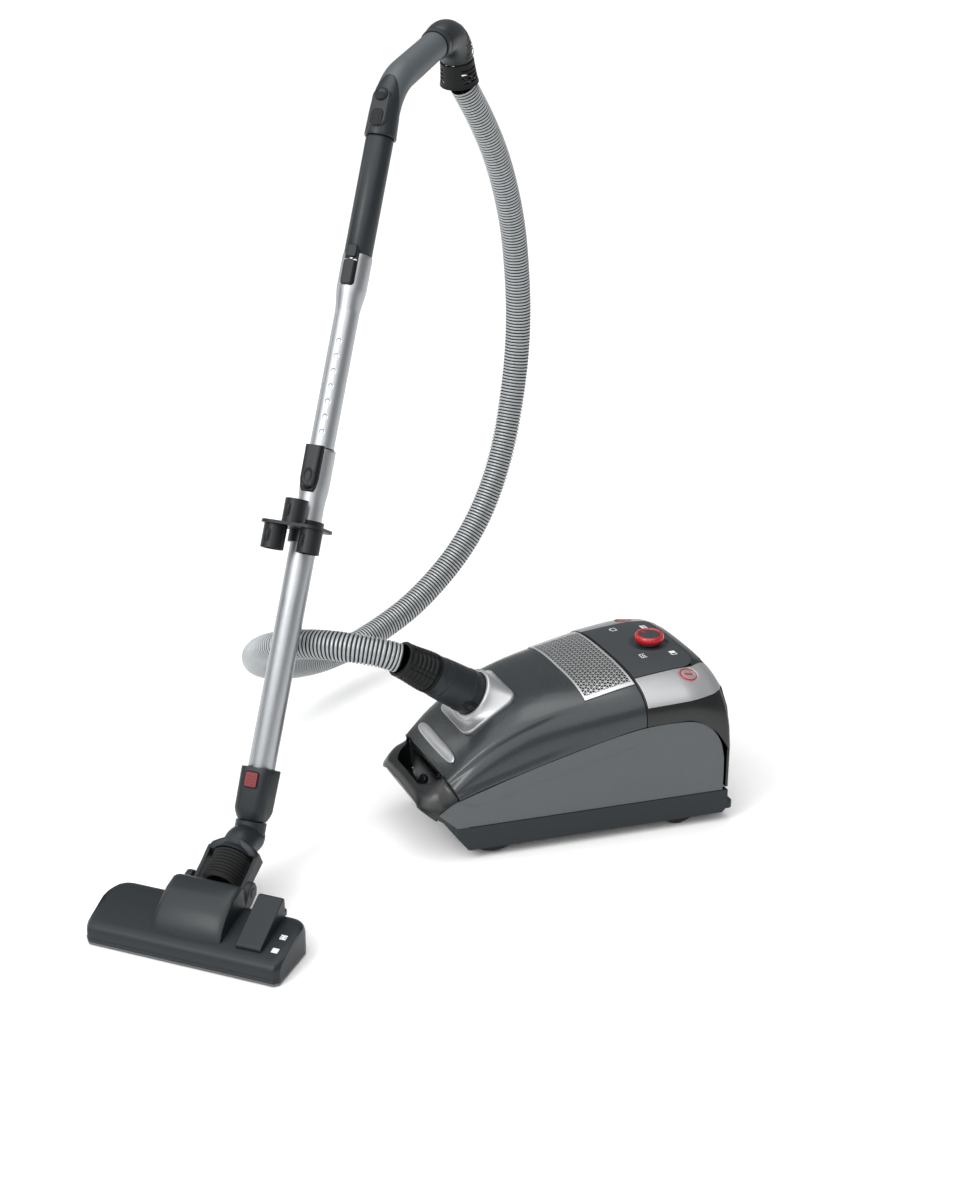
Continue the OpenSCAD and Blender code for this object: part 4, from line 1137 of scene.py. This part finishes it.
def elbow():
    """Fat rounded elbow between the grip and the hose, with a turned collar."""
    stations = [(1121.8, 20.8, 17.3), (1122.6, 21.7, 17.2), (1126, 22.0, 17.0), (1130, 22.0, 17.0),
                (1131.2, 21.2, 17.0), (1133.0, 21.2, 17.0), (1134.4, 22.3, 17.0)]
    low, high = 1137, ELBOW_END - 3
    for s in np.linspace(low, high, 44):
        t = (s - low) / (high - low)
        stations.append((s, 22.5 + 2.3 * math.sin(math.pi * min(1, t * 1.05)) ** 0.8, 17.5))
    stations += [(ELBOW_END - 1.0, 22.4, 17.5), (ELBOW_END, 21.8, 17.5)]
    handle_tube("handle_elbow_v", stations, "handle", "wand", sides=120)
    elbow_slots()
    for name, side in (("near", 1), ("far", -1)):
        place = handle_place(ELBOW_START + 42) @ turn(y=90 * side)
        lathed("elbow_mark_" + name,
               [(4.2, 23.6), (4.8, 24.7), (5.6, 24.9), (6.3, 24.6), (6.8, 23.6)],
               place @ Matrix.Diagonal((1.5, 0.8, 1, 1)), "black", "wand",
               sides=48)


def elbow_slots():
    """Dark curved slots over the outer side of the elbow, close together near the hose."""
    for k in range(5):
        middle = ELBOW_END - 8.5 - 7.6 * k
        reach = 128 - 9 * k
        rows = []
        for a in np.linspace(-90 - reach, -90 + reach, 40):
            lift = 5.0 * math.cos(math.radians(a + 90)) ** 2
            taper = math.sqrt(max(0.0, 1 - (abs(a + 90) / reach) ** 8))
            rows.append([handle_point(middle - lift + w * 1.5 * taper, math.radians(a),
                                      25.15 - 0.5 * abs(w)) for w in (-1, -0.5, 0, 0.5, 1)])
        obj = new_object("elbow_slot_%d" % (k + 1), rows, grid_faces(40, 5), WAND, "black", "wand")
        rounded(obj, 0, smooth=60)


def guard():
    """Flared anti-kink guard with rows of curved slots on both sides."""
    sides = 144
    slots = [(7.2, 10.0), (13.0, 15.8), (18.8, 21.6), (24.6, 27.2)]
    angles = around(sides)
    slot_edges = {v for pair in slots for v in pair}
    at = sorted(set(np.round(np.linspace(0.5, GUARD_LEN, 58), 2)) | slot_edges)
    rings = []
    for d in at:
        r = 24.2 + 3.2 * (d / GUARD_LEN) ** 1.4 + 0.5 * ease((d - 30) / 3)
        rings.append([handle_point(ELBOW_END + d, a, r) for a in angles])
    faces = []
    for n, face in enumerate(grid_faces(len(at), sides, wrap_cols=True)):
        i, j = divmod(n, sides)
        mid = (at[i] + at[i + 1]) / 2
        a = math.degrees(angles[j]) % 180
        spread = 62 + 3 * math.cos(mid)
        inside = any(lo < mid < hi for lo, hi in slots)
        if not (inside and abs(a - 90) > 96 - spread and abs((a + 90) % 180 - 90) < spread):
            faces.append(face)
    obj = new_object("hose_guard_v", rings, faces, WAND, "black", "canister")
    weighted(rounded(thick(obj, 2.4), 0.5, 2, 40))


# ---------- wand tubes ----------

def dimpled_tube():
    """Telescopic inner tube with a row of shallow detents, and the wide socket on its top."""
    sides, bore, foot, top = 120, 15.0, 170, 673
    at = np.unique(np.r_[np.linspace(foot, 480, 24), np.arange(480, 646, 1.3), 652, 660, 668, top])
    detents = [505 + 20 * k for k in range(7)]
    detent_turn, detent_r, detent_depth = math.radians(80), 3.5, 1.5
    rings = []
    for z in at:
        ring = []
        for a in around(sides):
            across = math.remainder(a + detent_turn, 2 * math.pi) * UPPER_R
            near = min(math.hypot(across, z - c) for c in detents)
            dip = detent_depth * math.sqrt(max(0.0, 1 - (near / detent_r) ** 2))
            lip = 0.04 * math.exp(-((near - 4.2) / 0.8) ** 2)
            r = UPPER_R - (dip - lip)
            ring.append((r * math.cos(a), r * math.sin(a), z))
        rings.append(ring)
    rings += [circle(bore, top, sides), circle(bore, foot, sides)]
    obj = new_object("upper_tube_v", rings, grid_faces(len(rings), sides, True, True), WAND,
                     "tube", "wand")
    rounded(obj, 0, smooth=50)
    lathed("tube_socket", [
        (15.6, 668), (16.2, 668), (16.6, 672), (17.4, 679), (18.6, 687), (19.3, 692), (19.6, 697),
        (19.7, 736), (19.5, 740.4), (19.2, 741.6), (18.7, 741.8), (18.6, 700)],
        WAND, "tube", "wand", sides=96, smooth=50)


def release_clip():
    """Two-step clip on the pipe joint that frees the handle from the wand."""
    front_pad("wand_release_v", (15.5, 33, 4.5), 715, 18.2, 6.6, "dark", "wand_release", edge=2.0)
    front_pad("wand_release_top", (14, 17, 4), 743, 17.0, 6.2, "dark", "wand_release", edge=2.0)
    front_pad("release_frame", (19, 50, 5), 723, 15.0, 4.6, "black", "wand", edge=1.0)
    lathed("release_pin", [(0.01, -9.6), (1.5, -9.6), (1.5, 9.6), (0.01, 9.6)],
           WAND @ move(0, -21.4, RELEASE_S) @ turn(y=90), "steel", "wand",
           closed=False, sides=24, edge=0.2)


def outer_tube():
    """Outer tube of the wand, wider at its mouth, and the dark ring in the mouth."""
    lathed("lower_tube_v", [
        (16.1, 22), (17.3, 22), (LOWER_R, 22.6), (LOWER_R, 410), (17.7, 416), (18.6, 426),
        (19.1, 432), (19.3, 440), (19.3, 480), (19.2, 483.2), (18.8, LOWER_TOP_S),
        (17.0, LOWER_TOP_S), (16.1, 482.6),
        (16.1, 23)], WAND, "tube", "lower_wand", sides=96, smooth=40)
    lathed("tube_mouth_ring", [(16.1, 479), (17.2, 484.2), (17.0, 485.6), (16.5, 485.8),
                               (16.1, 485.2)], WAND, "black", "lower_wand",
           sides=96)


def lock_slider():
    """Telescope lock: a pad with a rounded foot and a thumb dish, on a black base."""
    rows, cols, foot, length = 60, 41, 428, 58.0
    dish_at, dish_half, dish_long = 446, 6.2, 9.5
    points = []
    for t in np.linspace(0, 1, rows):
        z = foot + length * t
        half = 10.4 * math.sqrt(max(0.02, 1 - max(0.0, (0.22 - t) / 0.22) ** 2)) + 0.6 * t
        for u in np.linspace(-1, 1, cols):
            height = 26.6 + 0.8 * math.sin(math.pi * t) - 2.0 * abs(u) ** 6
            height -= 3.0 * max(0.0, (0.10 - t) / 0.10) ** 2
            dish = math.hypot(u * half / dish_half, (z - dish_at) / dish_long)
            height -= 1.3 * (1 - ease((dish - 0.55) / 0.5))
            height += 0.25 * math.exp(-((dish - 1.15) / 0.16) ** 2)
            points.append((u * half, -height, z))
    obj = new_object("tube_lock_v", points, grid_faces(rows, cols), WAND, "dark", "tube_lock")
    weighted(rounded(thick(obj, 6.0), 0.9, 3, 45))
    outline = [(-13.2, -18.0), (-12.4, -23.2), (12.4, -23.2), (13.2, -18.0)]
    rings = [[(x * narrow, y, z) for x, y in outline]
             for z, narrow in ((426, 0.62), (432, 0.84), (442, 0.97), (486.5, 1.0))]
    base = lofted("tube_lock_base", rings, WAND, "black", "tube_lock")
    weighted(rounded(base, 1.2, 3, 30))


STUB_LEN = 32.0
STUBS = [(0, -44, 19.5, -105), (25, -39, -15.5, -110), (-25, -39, -15.5, -100)]


def holder():
    """Accessory holder: ring clip, plate and three stubs with spring tongues.

    Each stub is its middle (x, y, z from the holder) and the way that its tongue faces."""
    carried("accessory_holder", "dark", "lower_wand", 0.7, 35)
    for k, (x, y, z, faces) in enumerate(STUBS):
        number = "_%d" % (k + 1)
        place = WAND @ move(x, y, HOLDER_S + z) @ turn(z=faces) @ turn(y=90)
        slot = prism("stub_slot" + number, round_rect(18, 8.4, 4.1, 10), STUB_R - 1.4,
                     STUB_R + 0.25, place, "black", "lower_wand")
        rounded(slot, 0.3)
        rings = []
        for t in np.linspace(-1, 1, 17):
            lift = STUB_R + 0.2 + 1.5 * math.cos(t * math.pi / 2)
            w = 2.5 * math.sqrt(max(0.04, 1 - t ** 4))
            rings.append([(8.0 * t, -w, STUB_R - 1.0), (8.0 * t, w, STUB_R - 1.0),
                          (8.0 * t, w * 0.8, lift), (8.0 * t, -w * 0.8, lift)])
        tongue = lofted("stub_tongue" + number, rings, place, "dark", "lower_wand")
        weighted(rounded(tongue, 0.5, 3, 30))
        if z > 0:
            end = move(x, y, HOLDER_S + 3 + STUB_LEN) @ turn(x=180)
        else:
            end = move(x, y, HOLDER_S + 0.8 - STUB_LEN)
        lathed("stub_rim" + number, [(STUB_R - 2.5, 0), (STUB_R - 0.8, 0), (STUB_R - 0.1, 0.7),
                                     (STUB_R - 0.1, 1.6), (STUB_R - 2.5, 1.6)], WAND @ end,
               "black", "lower_wand", sides=64)


# ---------- nozzle ----------

def socket_block():
    """Rounded rectangular socket that takes the wand, tapering to the neck."""
    rings = [level(round_rect(w, d, r, 10), z) for z, w, d, r in (
        (0.4, 36, 36, 17.5), (3, 38.5, 39, 17), (9, 41, 44, 15), (14, 42, 46, 13),
        (60, 42.6, 46.6, 12), (66, 42.6, 46.6, 12), (67.4, 41.6, 45.6, 11.5),
        (67.6, 37.6, 39, 17), (24, 36.4, 36.4, 18.1), (22, 34, 34, 16.9))]
    obj = lofted("nozzle_socket_v", rings, WAND, "slate", "lower_wand")
    rounded(obj, 0, smooth=35)
    place = WAND @ move(0, 0, 52) @ turn(x=90)
    frames = [level(round_rect(w, d, 3, 8), z) for w, d, z in (
        (20, 22, 22.4), (20, 22, 23.6), (17.2, 19.2, 23.6), (17.2, 19.2, 22.4))]
    well = new_object("release_well", frames, grid_faces(4, len(frames[0]), True, True), place,
                      "black", "lower_wand")
    rounded(well, 0.2)
    pad = prism("socket_release_v", round_rect(16.6, 18.6, 2.4), 21.0, 25.8, place, "dull_red",
                "socket_release")
    weighted(rounded(pad, 0.7))
    for k in range(4):
        rib = prism("socket_release_rib_%d" % (k + 1), round_rect(11.5, 1.5, 0.7, 4), 25.6, 26.4,
                    place @ move(0, 3.6 * (k - 1.5), 0), "dull_red", "socket_release")
        rounded(rib, 0.25)


def neck_line():
    """Centre line of the neck in the nozzle's frame, from the wand round to the bellows."""
    points = []
    for frame_of_part, heights in ((WAND, (-0.6, -7, -14, -21)), (NECK, (66, 58, 50, 43))):
        to_nozzle = np.array(NOZZLE.inverted() @ frame_of_part)
        points += [to_nozzle[:3, :3] @ np.array((0, 0, z)) + to_nozzle[:3, 3] for z in heights]
    return smooth_line(points, 8)


def neck():
    """Bent neck: swivel collar, waist, tube down to the bellows, and the yoke arms."""
    line = neck_line()
    tangents = np.gradient(line, axis=0)
    tangents /= np.linalg.norm(tangents, axis=1)[:, None]
    sides, wall, collar = 80, 4.6, 0.34
    across = np.array((1.0, 0, 0))
    outer, inner = [], []
    for k, (p, t) in enumerate(zip(line, tangents)):
        q = k / (len(line) - 1)
        r = 20.0 if q < collar else 20.0 + 1.3 * ease((q - collar) / 0.1)
        r += 5.5 * ease((q - 0.80) / 0.2)
        r -= 0.9 * math.exp(-((q - collar) / 0.012) ** 2)
        up = np.cross(t, across)
        spokes = [math.cos(a) * across + math.sin(a) * up for a in around(sides)]
        outer.append([p + r * spoke for spoke in spokes])
        inner.append([p + (r - wall) * spoke for spoke in spokes])
    rings = outer + inner[::-1]
    obj = new_object("neck_v", rings, grid_faces(len(rings), sides, True, True), NOZZLE, "slate",
                     "neck", replaces=())
    rounded(obj, 0, smooth=45)
    foot = [(8.8 * math.cos(a), 8.8 * math.sin(a)) for a in np.linspace(math.pi, 2 * math.pi, 20)]
    arm_outline = [(-8.6, 0), *foot, (8.6, 0), (8.2, 26), (9.5, 44), (9.5, 50), (-9.5, 50),
                   (-9.5, 44), (-8.2, 26)]
    for name, sign in (("right", 1), ("left", -1)):
        place = NECK @ flipped(sign) @ move(31.0, 0, 0) @ turn(z=90) @ turn(x=90)
        arm = prism("neck_arm_" + name, arm_outline, 0, 4.6, place, "slate", "neck")
        weighted(rounded(arm, 1.2, 3))
    rings = [level(round_rect(w, d, r, 8), z) for z, w, d, r in (
        (43.5, 71, 24, 8), (46, 72, 28, 9), (52, 66, 36, 12), (57, 54, 40, 17), (60, 44, 42, 20))]
    bridge = lofted("neck_bridge", rings, NECK, "slate", "neck")
    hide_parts("neck")
    rounded(bridge, 0, smooth=50)


def bellows():
    """Ribbed bellows between the head and the neck."""
    profile = [(19.2, 2.0), (22.4, 2.0)]
    for k in range(9):
        z = 3.4 + 4.45 * k
        profile += [(23.0, z), (25.2, z + 0.7), (25.5, z + 1.3), (25.2, z + 1.9), (23.0, z + 2.7),
                    (22.0, z + 3.6)]
    profile += [(22.0, 43.0), (19.2, 43.0)]
    obj = lathed("neck_bellows_v", profile, NECK, "rubber", "head", sides=80, smooth=50)
    bend_across(obj)


def head_section(x, inset=0.0):
    """Side profile of the nozzle body at x, with the plan's corners taken off."""
    half, corner = HEAD_W / 2, 22
    past = max(0.0, abs(x) - (half - corner))
    rear = HEAD_D - (corner - math.sqrt(max(0.0, corner ** 2 - past ** 2))) - inset
    front = max(0.0, abs(x) - (half - 6)) + inset
    slim = 1.4 * ease((abs(x) - half + 8) / 8)
    top = HEAD_H - slim
    outline = [(front + 0.6, 4.0), (front, 8), (front + 0.2, 20 - slim), (front + 1.8, 24 - slim),
               (front + 6.0, 28.0 - slim), (front + 12.0, 30.2 - slim), (rear - 22, top - 0.4),
               (rear - 12, top), (rear - 6, top - 1.4), (rear - 1.6, top - 6), (rear, top - 12),
               (rear - 0.2, 8), (rear - 1.0, 4.0)]
    return [(x, y, z) for y, z in outline]


HINGE_EAR = [(72, 30), (98, 30), (120, 42), (121.5, 52), (117, 60.5), (110, 63.5), (103, 61),
             (95, 51), (87, 43), (74, 41)]


def head():
    """Nozzle body with the bumper line along its front."""
    half = HEAD_W / 2
    ends = np.array([0, 0.8, 2.5, 6, 11, 16, 22])
    xs = np.r_[ends - half, np.linspace(-half + 30, half - 30, 24), half - ends[::-1]]
    rings = [head_section(x, 1.6 * (1 - ease((half - abs(x)) / 2.6))) for x in xs]
    obj = lofted("head_shell_v", rings, NOZZLE, "slate", "head")
    rounded(obj, 0.8, 3, 30, 40)
    band = []
    for x in xs[1:-1]:
        foot_y, face_y = (point[1] for point in head_section(x)[:2])
        band.append([(x, foot_y - 0.9, 5.0), (x, face_y - 0.9, 9.5), (x, face_y + 1.5, 10.5),
                     (x, face_y + 1.5, 5.0)])
    strip = lofted("head_bumper", band, NOZZLE, "dark", "head")
    weighted(rounded(strip, 0.5))


def hinge_ears():
    """The two ears that hold the neck, each with a round cap."""
    for name, sign in (("right", 1), ("left", -1)):
        side = NOZZLE @ flipped(sign)
        ear = prism("hinge_ear_" + name, HINGE_EAR, 0, 9.4,
                    side @ move(36.8, 0, 0) @ turn(z=90) @ turn(x=90), "slate", "head")
        weighted(rounded(ear, 2.2, 4, 25))
        lathed("hinge_cap_" + name, [(0.01, 8), (6.2, 8), (6.8, 9.4), (6.2, 10.2), (0.01, 10.4)],
               side @ move(36.8, 110, 49.2) @ turn(y=90), "dark", "head",
               closed=False, sides=40)


HOOD_LINE = ([17, 20, 28, 38, 60, 79, 84, 86], [31, 39, 50, 59, 71.5, 76, 74.6, 71])


def hood():
    """Convex hood that rises from the front of the nozzle to the bellows."""
    rows, cols = 49, 40
    front_y, length = 17, 69
    points = []
    for u in np.linspace(-1, 1, rows):
        round_off = 1 - u * u
        for t in np.linspace(0, 1, cols):
            y = front_y + length * t
            dome = 2.6 * round_off * math.sin(math.pi * min(1, t * 1.1)) - 3.2 * abs(u) ** 14
            points.append((u * (47.5 - 1.5 * t), y - 2.6 * round_off * (1 - t),
                           float(smooth_along(y, HOOD_LINE)) + dome - 1.2))
    top = new_object("hood_shell", points, grid_faces(rows, cols), NOZZLE, "handle", "head")
    for face in top.data.polygons:
        face.flip()
    weighted(rounded(thick(top, 2.4), 0.9, 3, 40))
    skirt = [[(-46.6, y, z), (46.6, y, z), (47.8, y, 27.0), (-47.8, y, 27.0)] for y, z in (
        (17.5, 29), (20, 35.5), (28, 46.5), (38, 55.5), (60, 68), (79, 72.6), (86, 69))]
    body = lofted("hood_body", skirt, NOZZLE, "slate", "head")
    weighted(rounded(body, 1.2))


PEDAL_SIDE = [(18, 33), (18.4, 36.2), (21, 38.2), (82, 69.6), (85.4, 68.8), (86, 64), (86, 44),
              (60, 38)]
PEDAL_X = 85


def pedal():
    """Rocker pedal: a wedge in a dark well."""
    rings = [[(PEDAL_X + x, y, z - slim * 0.8) for y, z in PEDAL_SIDE] for x, slim in (
        (-17, 1.6), (-16.2, 0.5), (-14, 0), (14, 0), (16.2, 0.5), (17, 1.6))]
    obj = lofted("rocker_pedal_v", rings, NOZZLE, "slate", "pedal")
    weighted(rounded(obj, 1.4, 4, 25))
    well = prism("pedal_well", round_rect(39, 76, 3), 0, 2.0,
                 NOZZLE @ move(PEDAL_X, 50, 31.4) @ turn(x=9.6), "black", "head")
    rounded(well, 0.5)
    step = prism("pedal_step", round_rect(30, 20, 5), 0, 9, NOZZLE @ move(86, 86, 40), "slate",
                 "head")
    weighted(rounded(step, 2.5, 4))


def pedal_signs():
    """Two printed signs beside the pedal, each of three bars joined by a stem."""
    for k, (y, stem_w) in enumerate(((27, 8.0), (50, 2.0))):
        place = NOZZLE @ move(117, y, 30.2 + (y - 12) * 0.194) @ turn(x=10.8)
        for j in range(3):
            name = "pedal_sign_%d_%d" % (k + 1, j + 1)
            bar = prism(name, round_rect(8.6, 1.9, 0.4, 3), 0.02, 0.4,
                        place @ move(0, 2.9 * (j - 1), 0), "icon", "head")
            rounded(bar, 0)
        stem = prism("pedal_sign_stem_%d" % (k + 1), round_rect(stem_w, 6.0, 0.4, 3),
                     0.02, 0.36, place, "icon", "head")
        rounded(stem, 0)


# ---------- inside the canister ----------

def bag_point(polar, angle):
    """Point of the puffed bag on a unit box, with its wrinkles and pleats."""
    flat = math.sin(polar)
    u = Vector((flat * math.cos(angle), flat * math.sin(angle), math.cos(polar)))
    squareness = 4
    to_box = sum(abs(c) ** squareness for c in u) ** (-1 / squareness)
    wrinkle = 0.018 * noise.noise(u * 5.5) + 0.010 * noise.noise(u * 14)
    pleat = 0.012 * math.cos(12 * angle) * flat ** 2
    return u * (to_box * (0.965 + wrinkle + pleat))


def dust_bag():
    """Fleece bag puffed out in its basket, with a card collar at the inlet."""
    low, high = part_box("dust_bag")
    mid, size = (low + high) / 2, (high - low) / 2
    rows, cols = 41, 72
    points = []
    for polar in np.linspace(0, math.pi, rows):
        for angle in around(cols):
            u = bag_point(polar, angle)
            points.append([(mid[c] + size[c] * u[c]) / MM for c in range(3)])
    obj = new_object("dust_bag_v", points, grid_faces(rows, cols, wrap_cols=True),
                     Matrix.Identity(4), "paper", "canister")
    weld = obj.modifiers.new("weld", "WELD")
    weld.merge_threshold = 0.0001
    applied(obj)
    for face in obj.data.polygons:
        face.flip()
    rounded(obj, 0, smooth=70)
    collar = prism("bag_collar", round_rect(64, 64, 9), 0, 2.2,
                   CANISTER @ move(0, -92, high[2] / MM - 2.3), "card", "canister")
    rounded(collar, 0.4)


CARRIED = [
    ("chassis_tray", "slate", "dark_plastic", 1.4), ("rear_wall", "gloss", "black_plastic", 1.6),
    ("exhaust_grille", "black", "dark_plastic", 0.6), ("exhaust_filter", "foam", "filter_foam", 1.0),
    ("rear_bumper", "slate", "rubber", 2.2), ("circuit_board", "board", "board", 0.2),
    ("cord_outlet", "black", "dark_plastic", 0.6), ("bag_tub", "dark", "dark_plastic", 0.8),
    ("motor_filter", "foam", "filter_foam", 0.8), ("motor_housing", "dark", "dark_plastic", 0.8),
    ("motor_mounts", "rubber", "rubber", 0.8), ("motor_rotor", "copper", "copper", 0.4),
    ("cord_reel", "black", "dark_plastic", 0.6), ("reel_stand", "dark", "dark_plastic", 0.5),
    ("axle_pins", "steel", "steel", 0.2), ("rear_wheel_near", "black", "rubber", 1.4),
    ("rear_wheel_far", "black", "rubber", 1.4), ("caster_fork_near", "dark", "dark_plastic", 0.5),
    ("caster_fork_far", "dark", "dark_plastic", 0.5), ("caster_wheel_near", "black", "rubber", 0.9),
    ("caster_wheel_far", "black", "rubber", 0.9), ("lid_hinge_pin", "steel", "steel", 0.2),
    ("sole_plate", "sole", "steel", 0.4), ("bristle_strips", "bristle", "rubber", 0.2),
]


def caster_skirt(name, sign):
    """Round skirt that hangs below the tray around a caster."""
    lathed(name + "_skirt", [(26.3, 14.6), (26.3, 6.0), (26.6, 5.0), (27.2, 5.2), (27.6, 6.5),
                             (27.6, 14.6)],
           CANISTER @ move(66 * sign, -116, 0), "black", name, smooth=40)


def carried_over():
    """The CAD pieces whose shape is right, each on the body that owns it."""
    bodies = frame["record"]["behaviour"]["bodies"]
    owner = {node: body for body, nodes in bodies.items() for node in nodes}
    for node, material, slot, width in CARRIED:
        carried(node, material, owner[node], width)


# ---------- studio ----------

LAMP_TARGET = (0.0, 0.0, 0.35)
SKY_LIGHT, SKY_SEEN = 0.34, 1.05
FLOOR_HALF, FLOOR_Z = 30, -0.0005
LAMPS = [
    ("dome_sun", (0.9, -1.4, 3.0), "SUN", 2.75, 100),
    ("key", (1.2, -2.4, 2.6), "AREA", 34, (1.0, 1.6)),
    ("top", (-0.4, 0.3, 3.0), "AREA", 18, (1.4, 2.4)),
    ("edge", (-2.2, -1.6, 1.5), "AREA", 8, (0.5, 2.0)),
]


def studio_lamp(name, place, kind, power, size):
    """Lamp that looks at the middle of the object; size is an angle for a sun, else two sides."""
    lamp = bpy.data.lights.new(name, kind)
    lamp.energy = power
    if kind == "SUN":
        lamp.angle = math.radians(size)
    else:
        lamp.shape = "RECTANGLE"
        lamp.size, lamp.size_y = size
    obj = linked(name, lamp)
    obj.location = place
    face_along(obj, Vector(LAMP_TARGET) - Vector(place))


def paper_world():
    """Even white sky: dimmer as a light than as the backdrop that is seen."""
    world = bpy.data.worlds.new("studio")
    bpy.context.scene.world = world
    world.use_nodes = True
    nodes, links = world.node_tree.nodes, world.node_tree.links
    sky = nodes["Background"]
    sky.inputs["Color"].default_value = (1.0, 1.0, 1.0, 1.0)
    ray = nodes.new("ShaderNodeLightPath")
    strength = add(nodes, "ShaderNodeMapRange", To_Min=SKY_LIGHT, To_Max=SKY_SEEN)
    links.new(ray.outputs["Is Camera Ray"], strength.inputs["Value"])
    links.new(strength.outputs["Result"], sky.inputs["Strength"])


def studio():
    """White paper floor and sky, and the lamps."""
    paper_world()
    mesh = bpy.data.meshes.new("floor")
    mesh.from_pydata([(x * FLOOR_HALF, y * FLOOR_HALF, FLOOR_Z)
                      for x, y in ((-1, -1), (1, -1), (1, 1), (-1, 1))], [], [(0, 1, 2, 3)])
    mesh.materials.append(surface_material("paper_floor", (252, 252, 252), 0.9, grain=300,
                                           bump=0.02, mottle=0.004))
    linked("floor", mesh)
    for lamp in LAMPS:
        studio_lamp(*lamp)
    bpy.context.scene.view_settings.view_transform = "Standard"


# ---------- the whole ----------

hose()
connector()
cuff()
lid()
latch()
triangle_grille()
surround()
bezel()
side_panel("side_panel_near", 1)
side_panel("side_panel_far", -1)
rear_shell()
console()
rear_rim()
icons()
silver_wings()
caster_skirt("caster_fork_near", 1)
caster_skirt("caster_fork_far", -1)
push_button("power_button", 1)
push_button("rewind_button", -1)
knob()
pipe()
sleeve()
handle_controls()
grip()
elbow()
guard()
dimpled_tube()
release_clip()
outer_tube()
lock_slider()
holder()
socket_block()
neck()
bellows()
head()
hood()
hinge_ears()
pedal()
pedal_signs()
dust_bag()
carried_over()
studio()
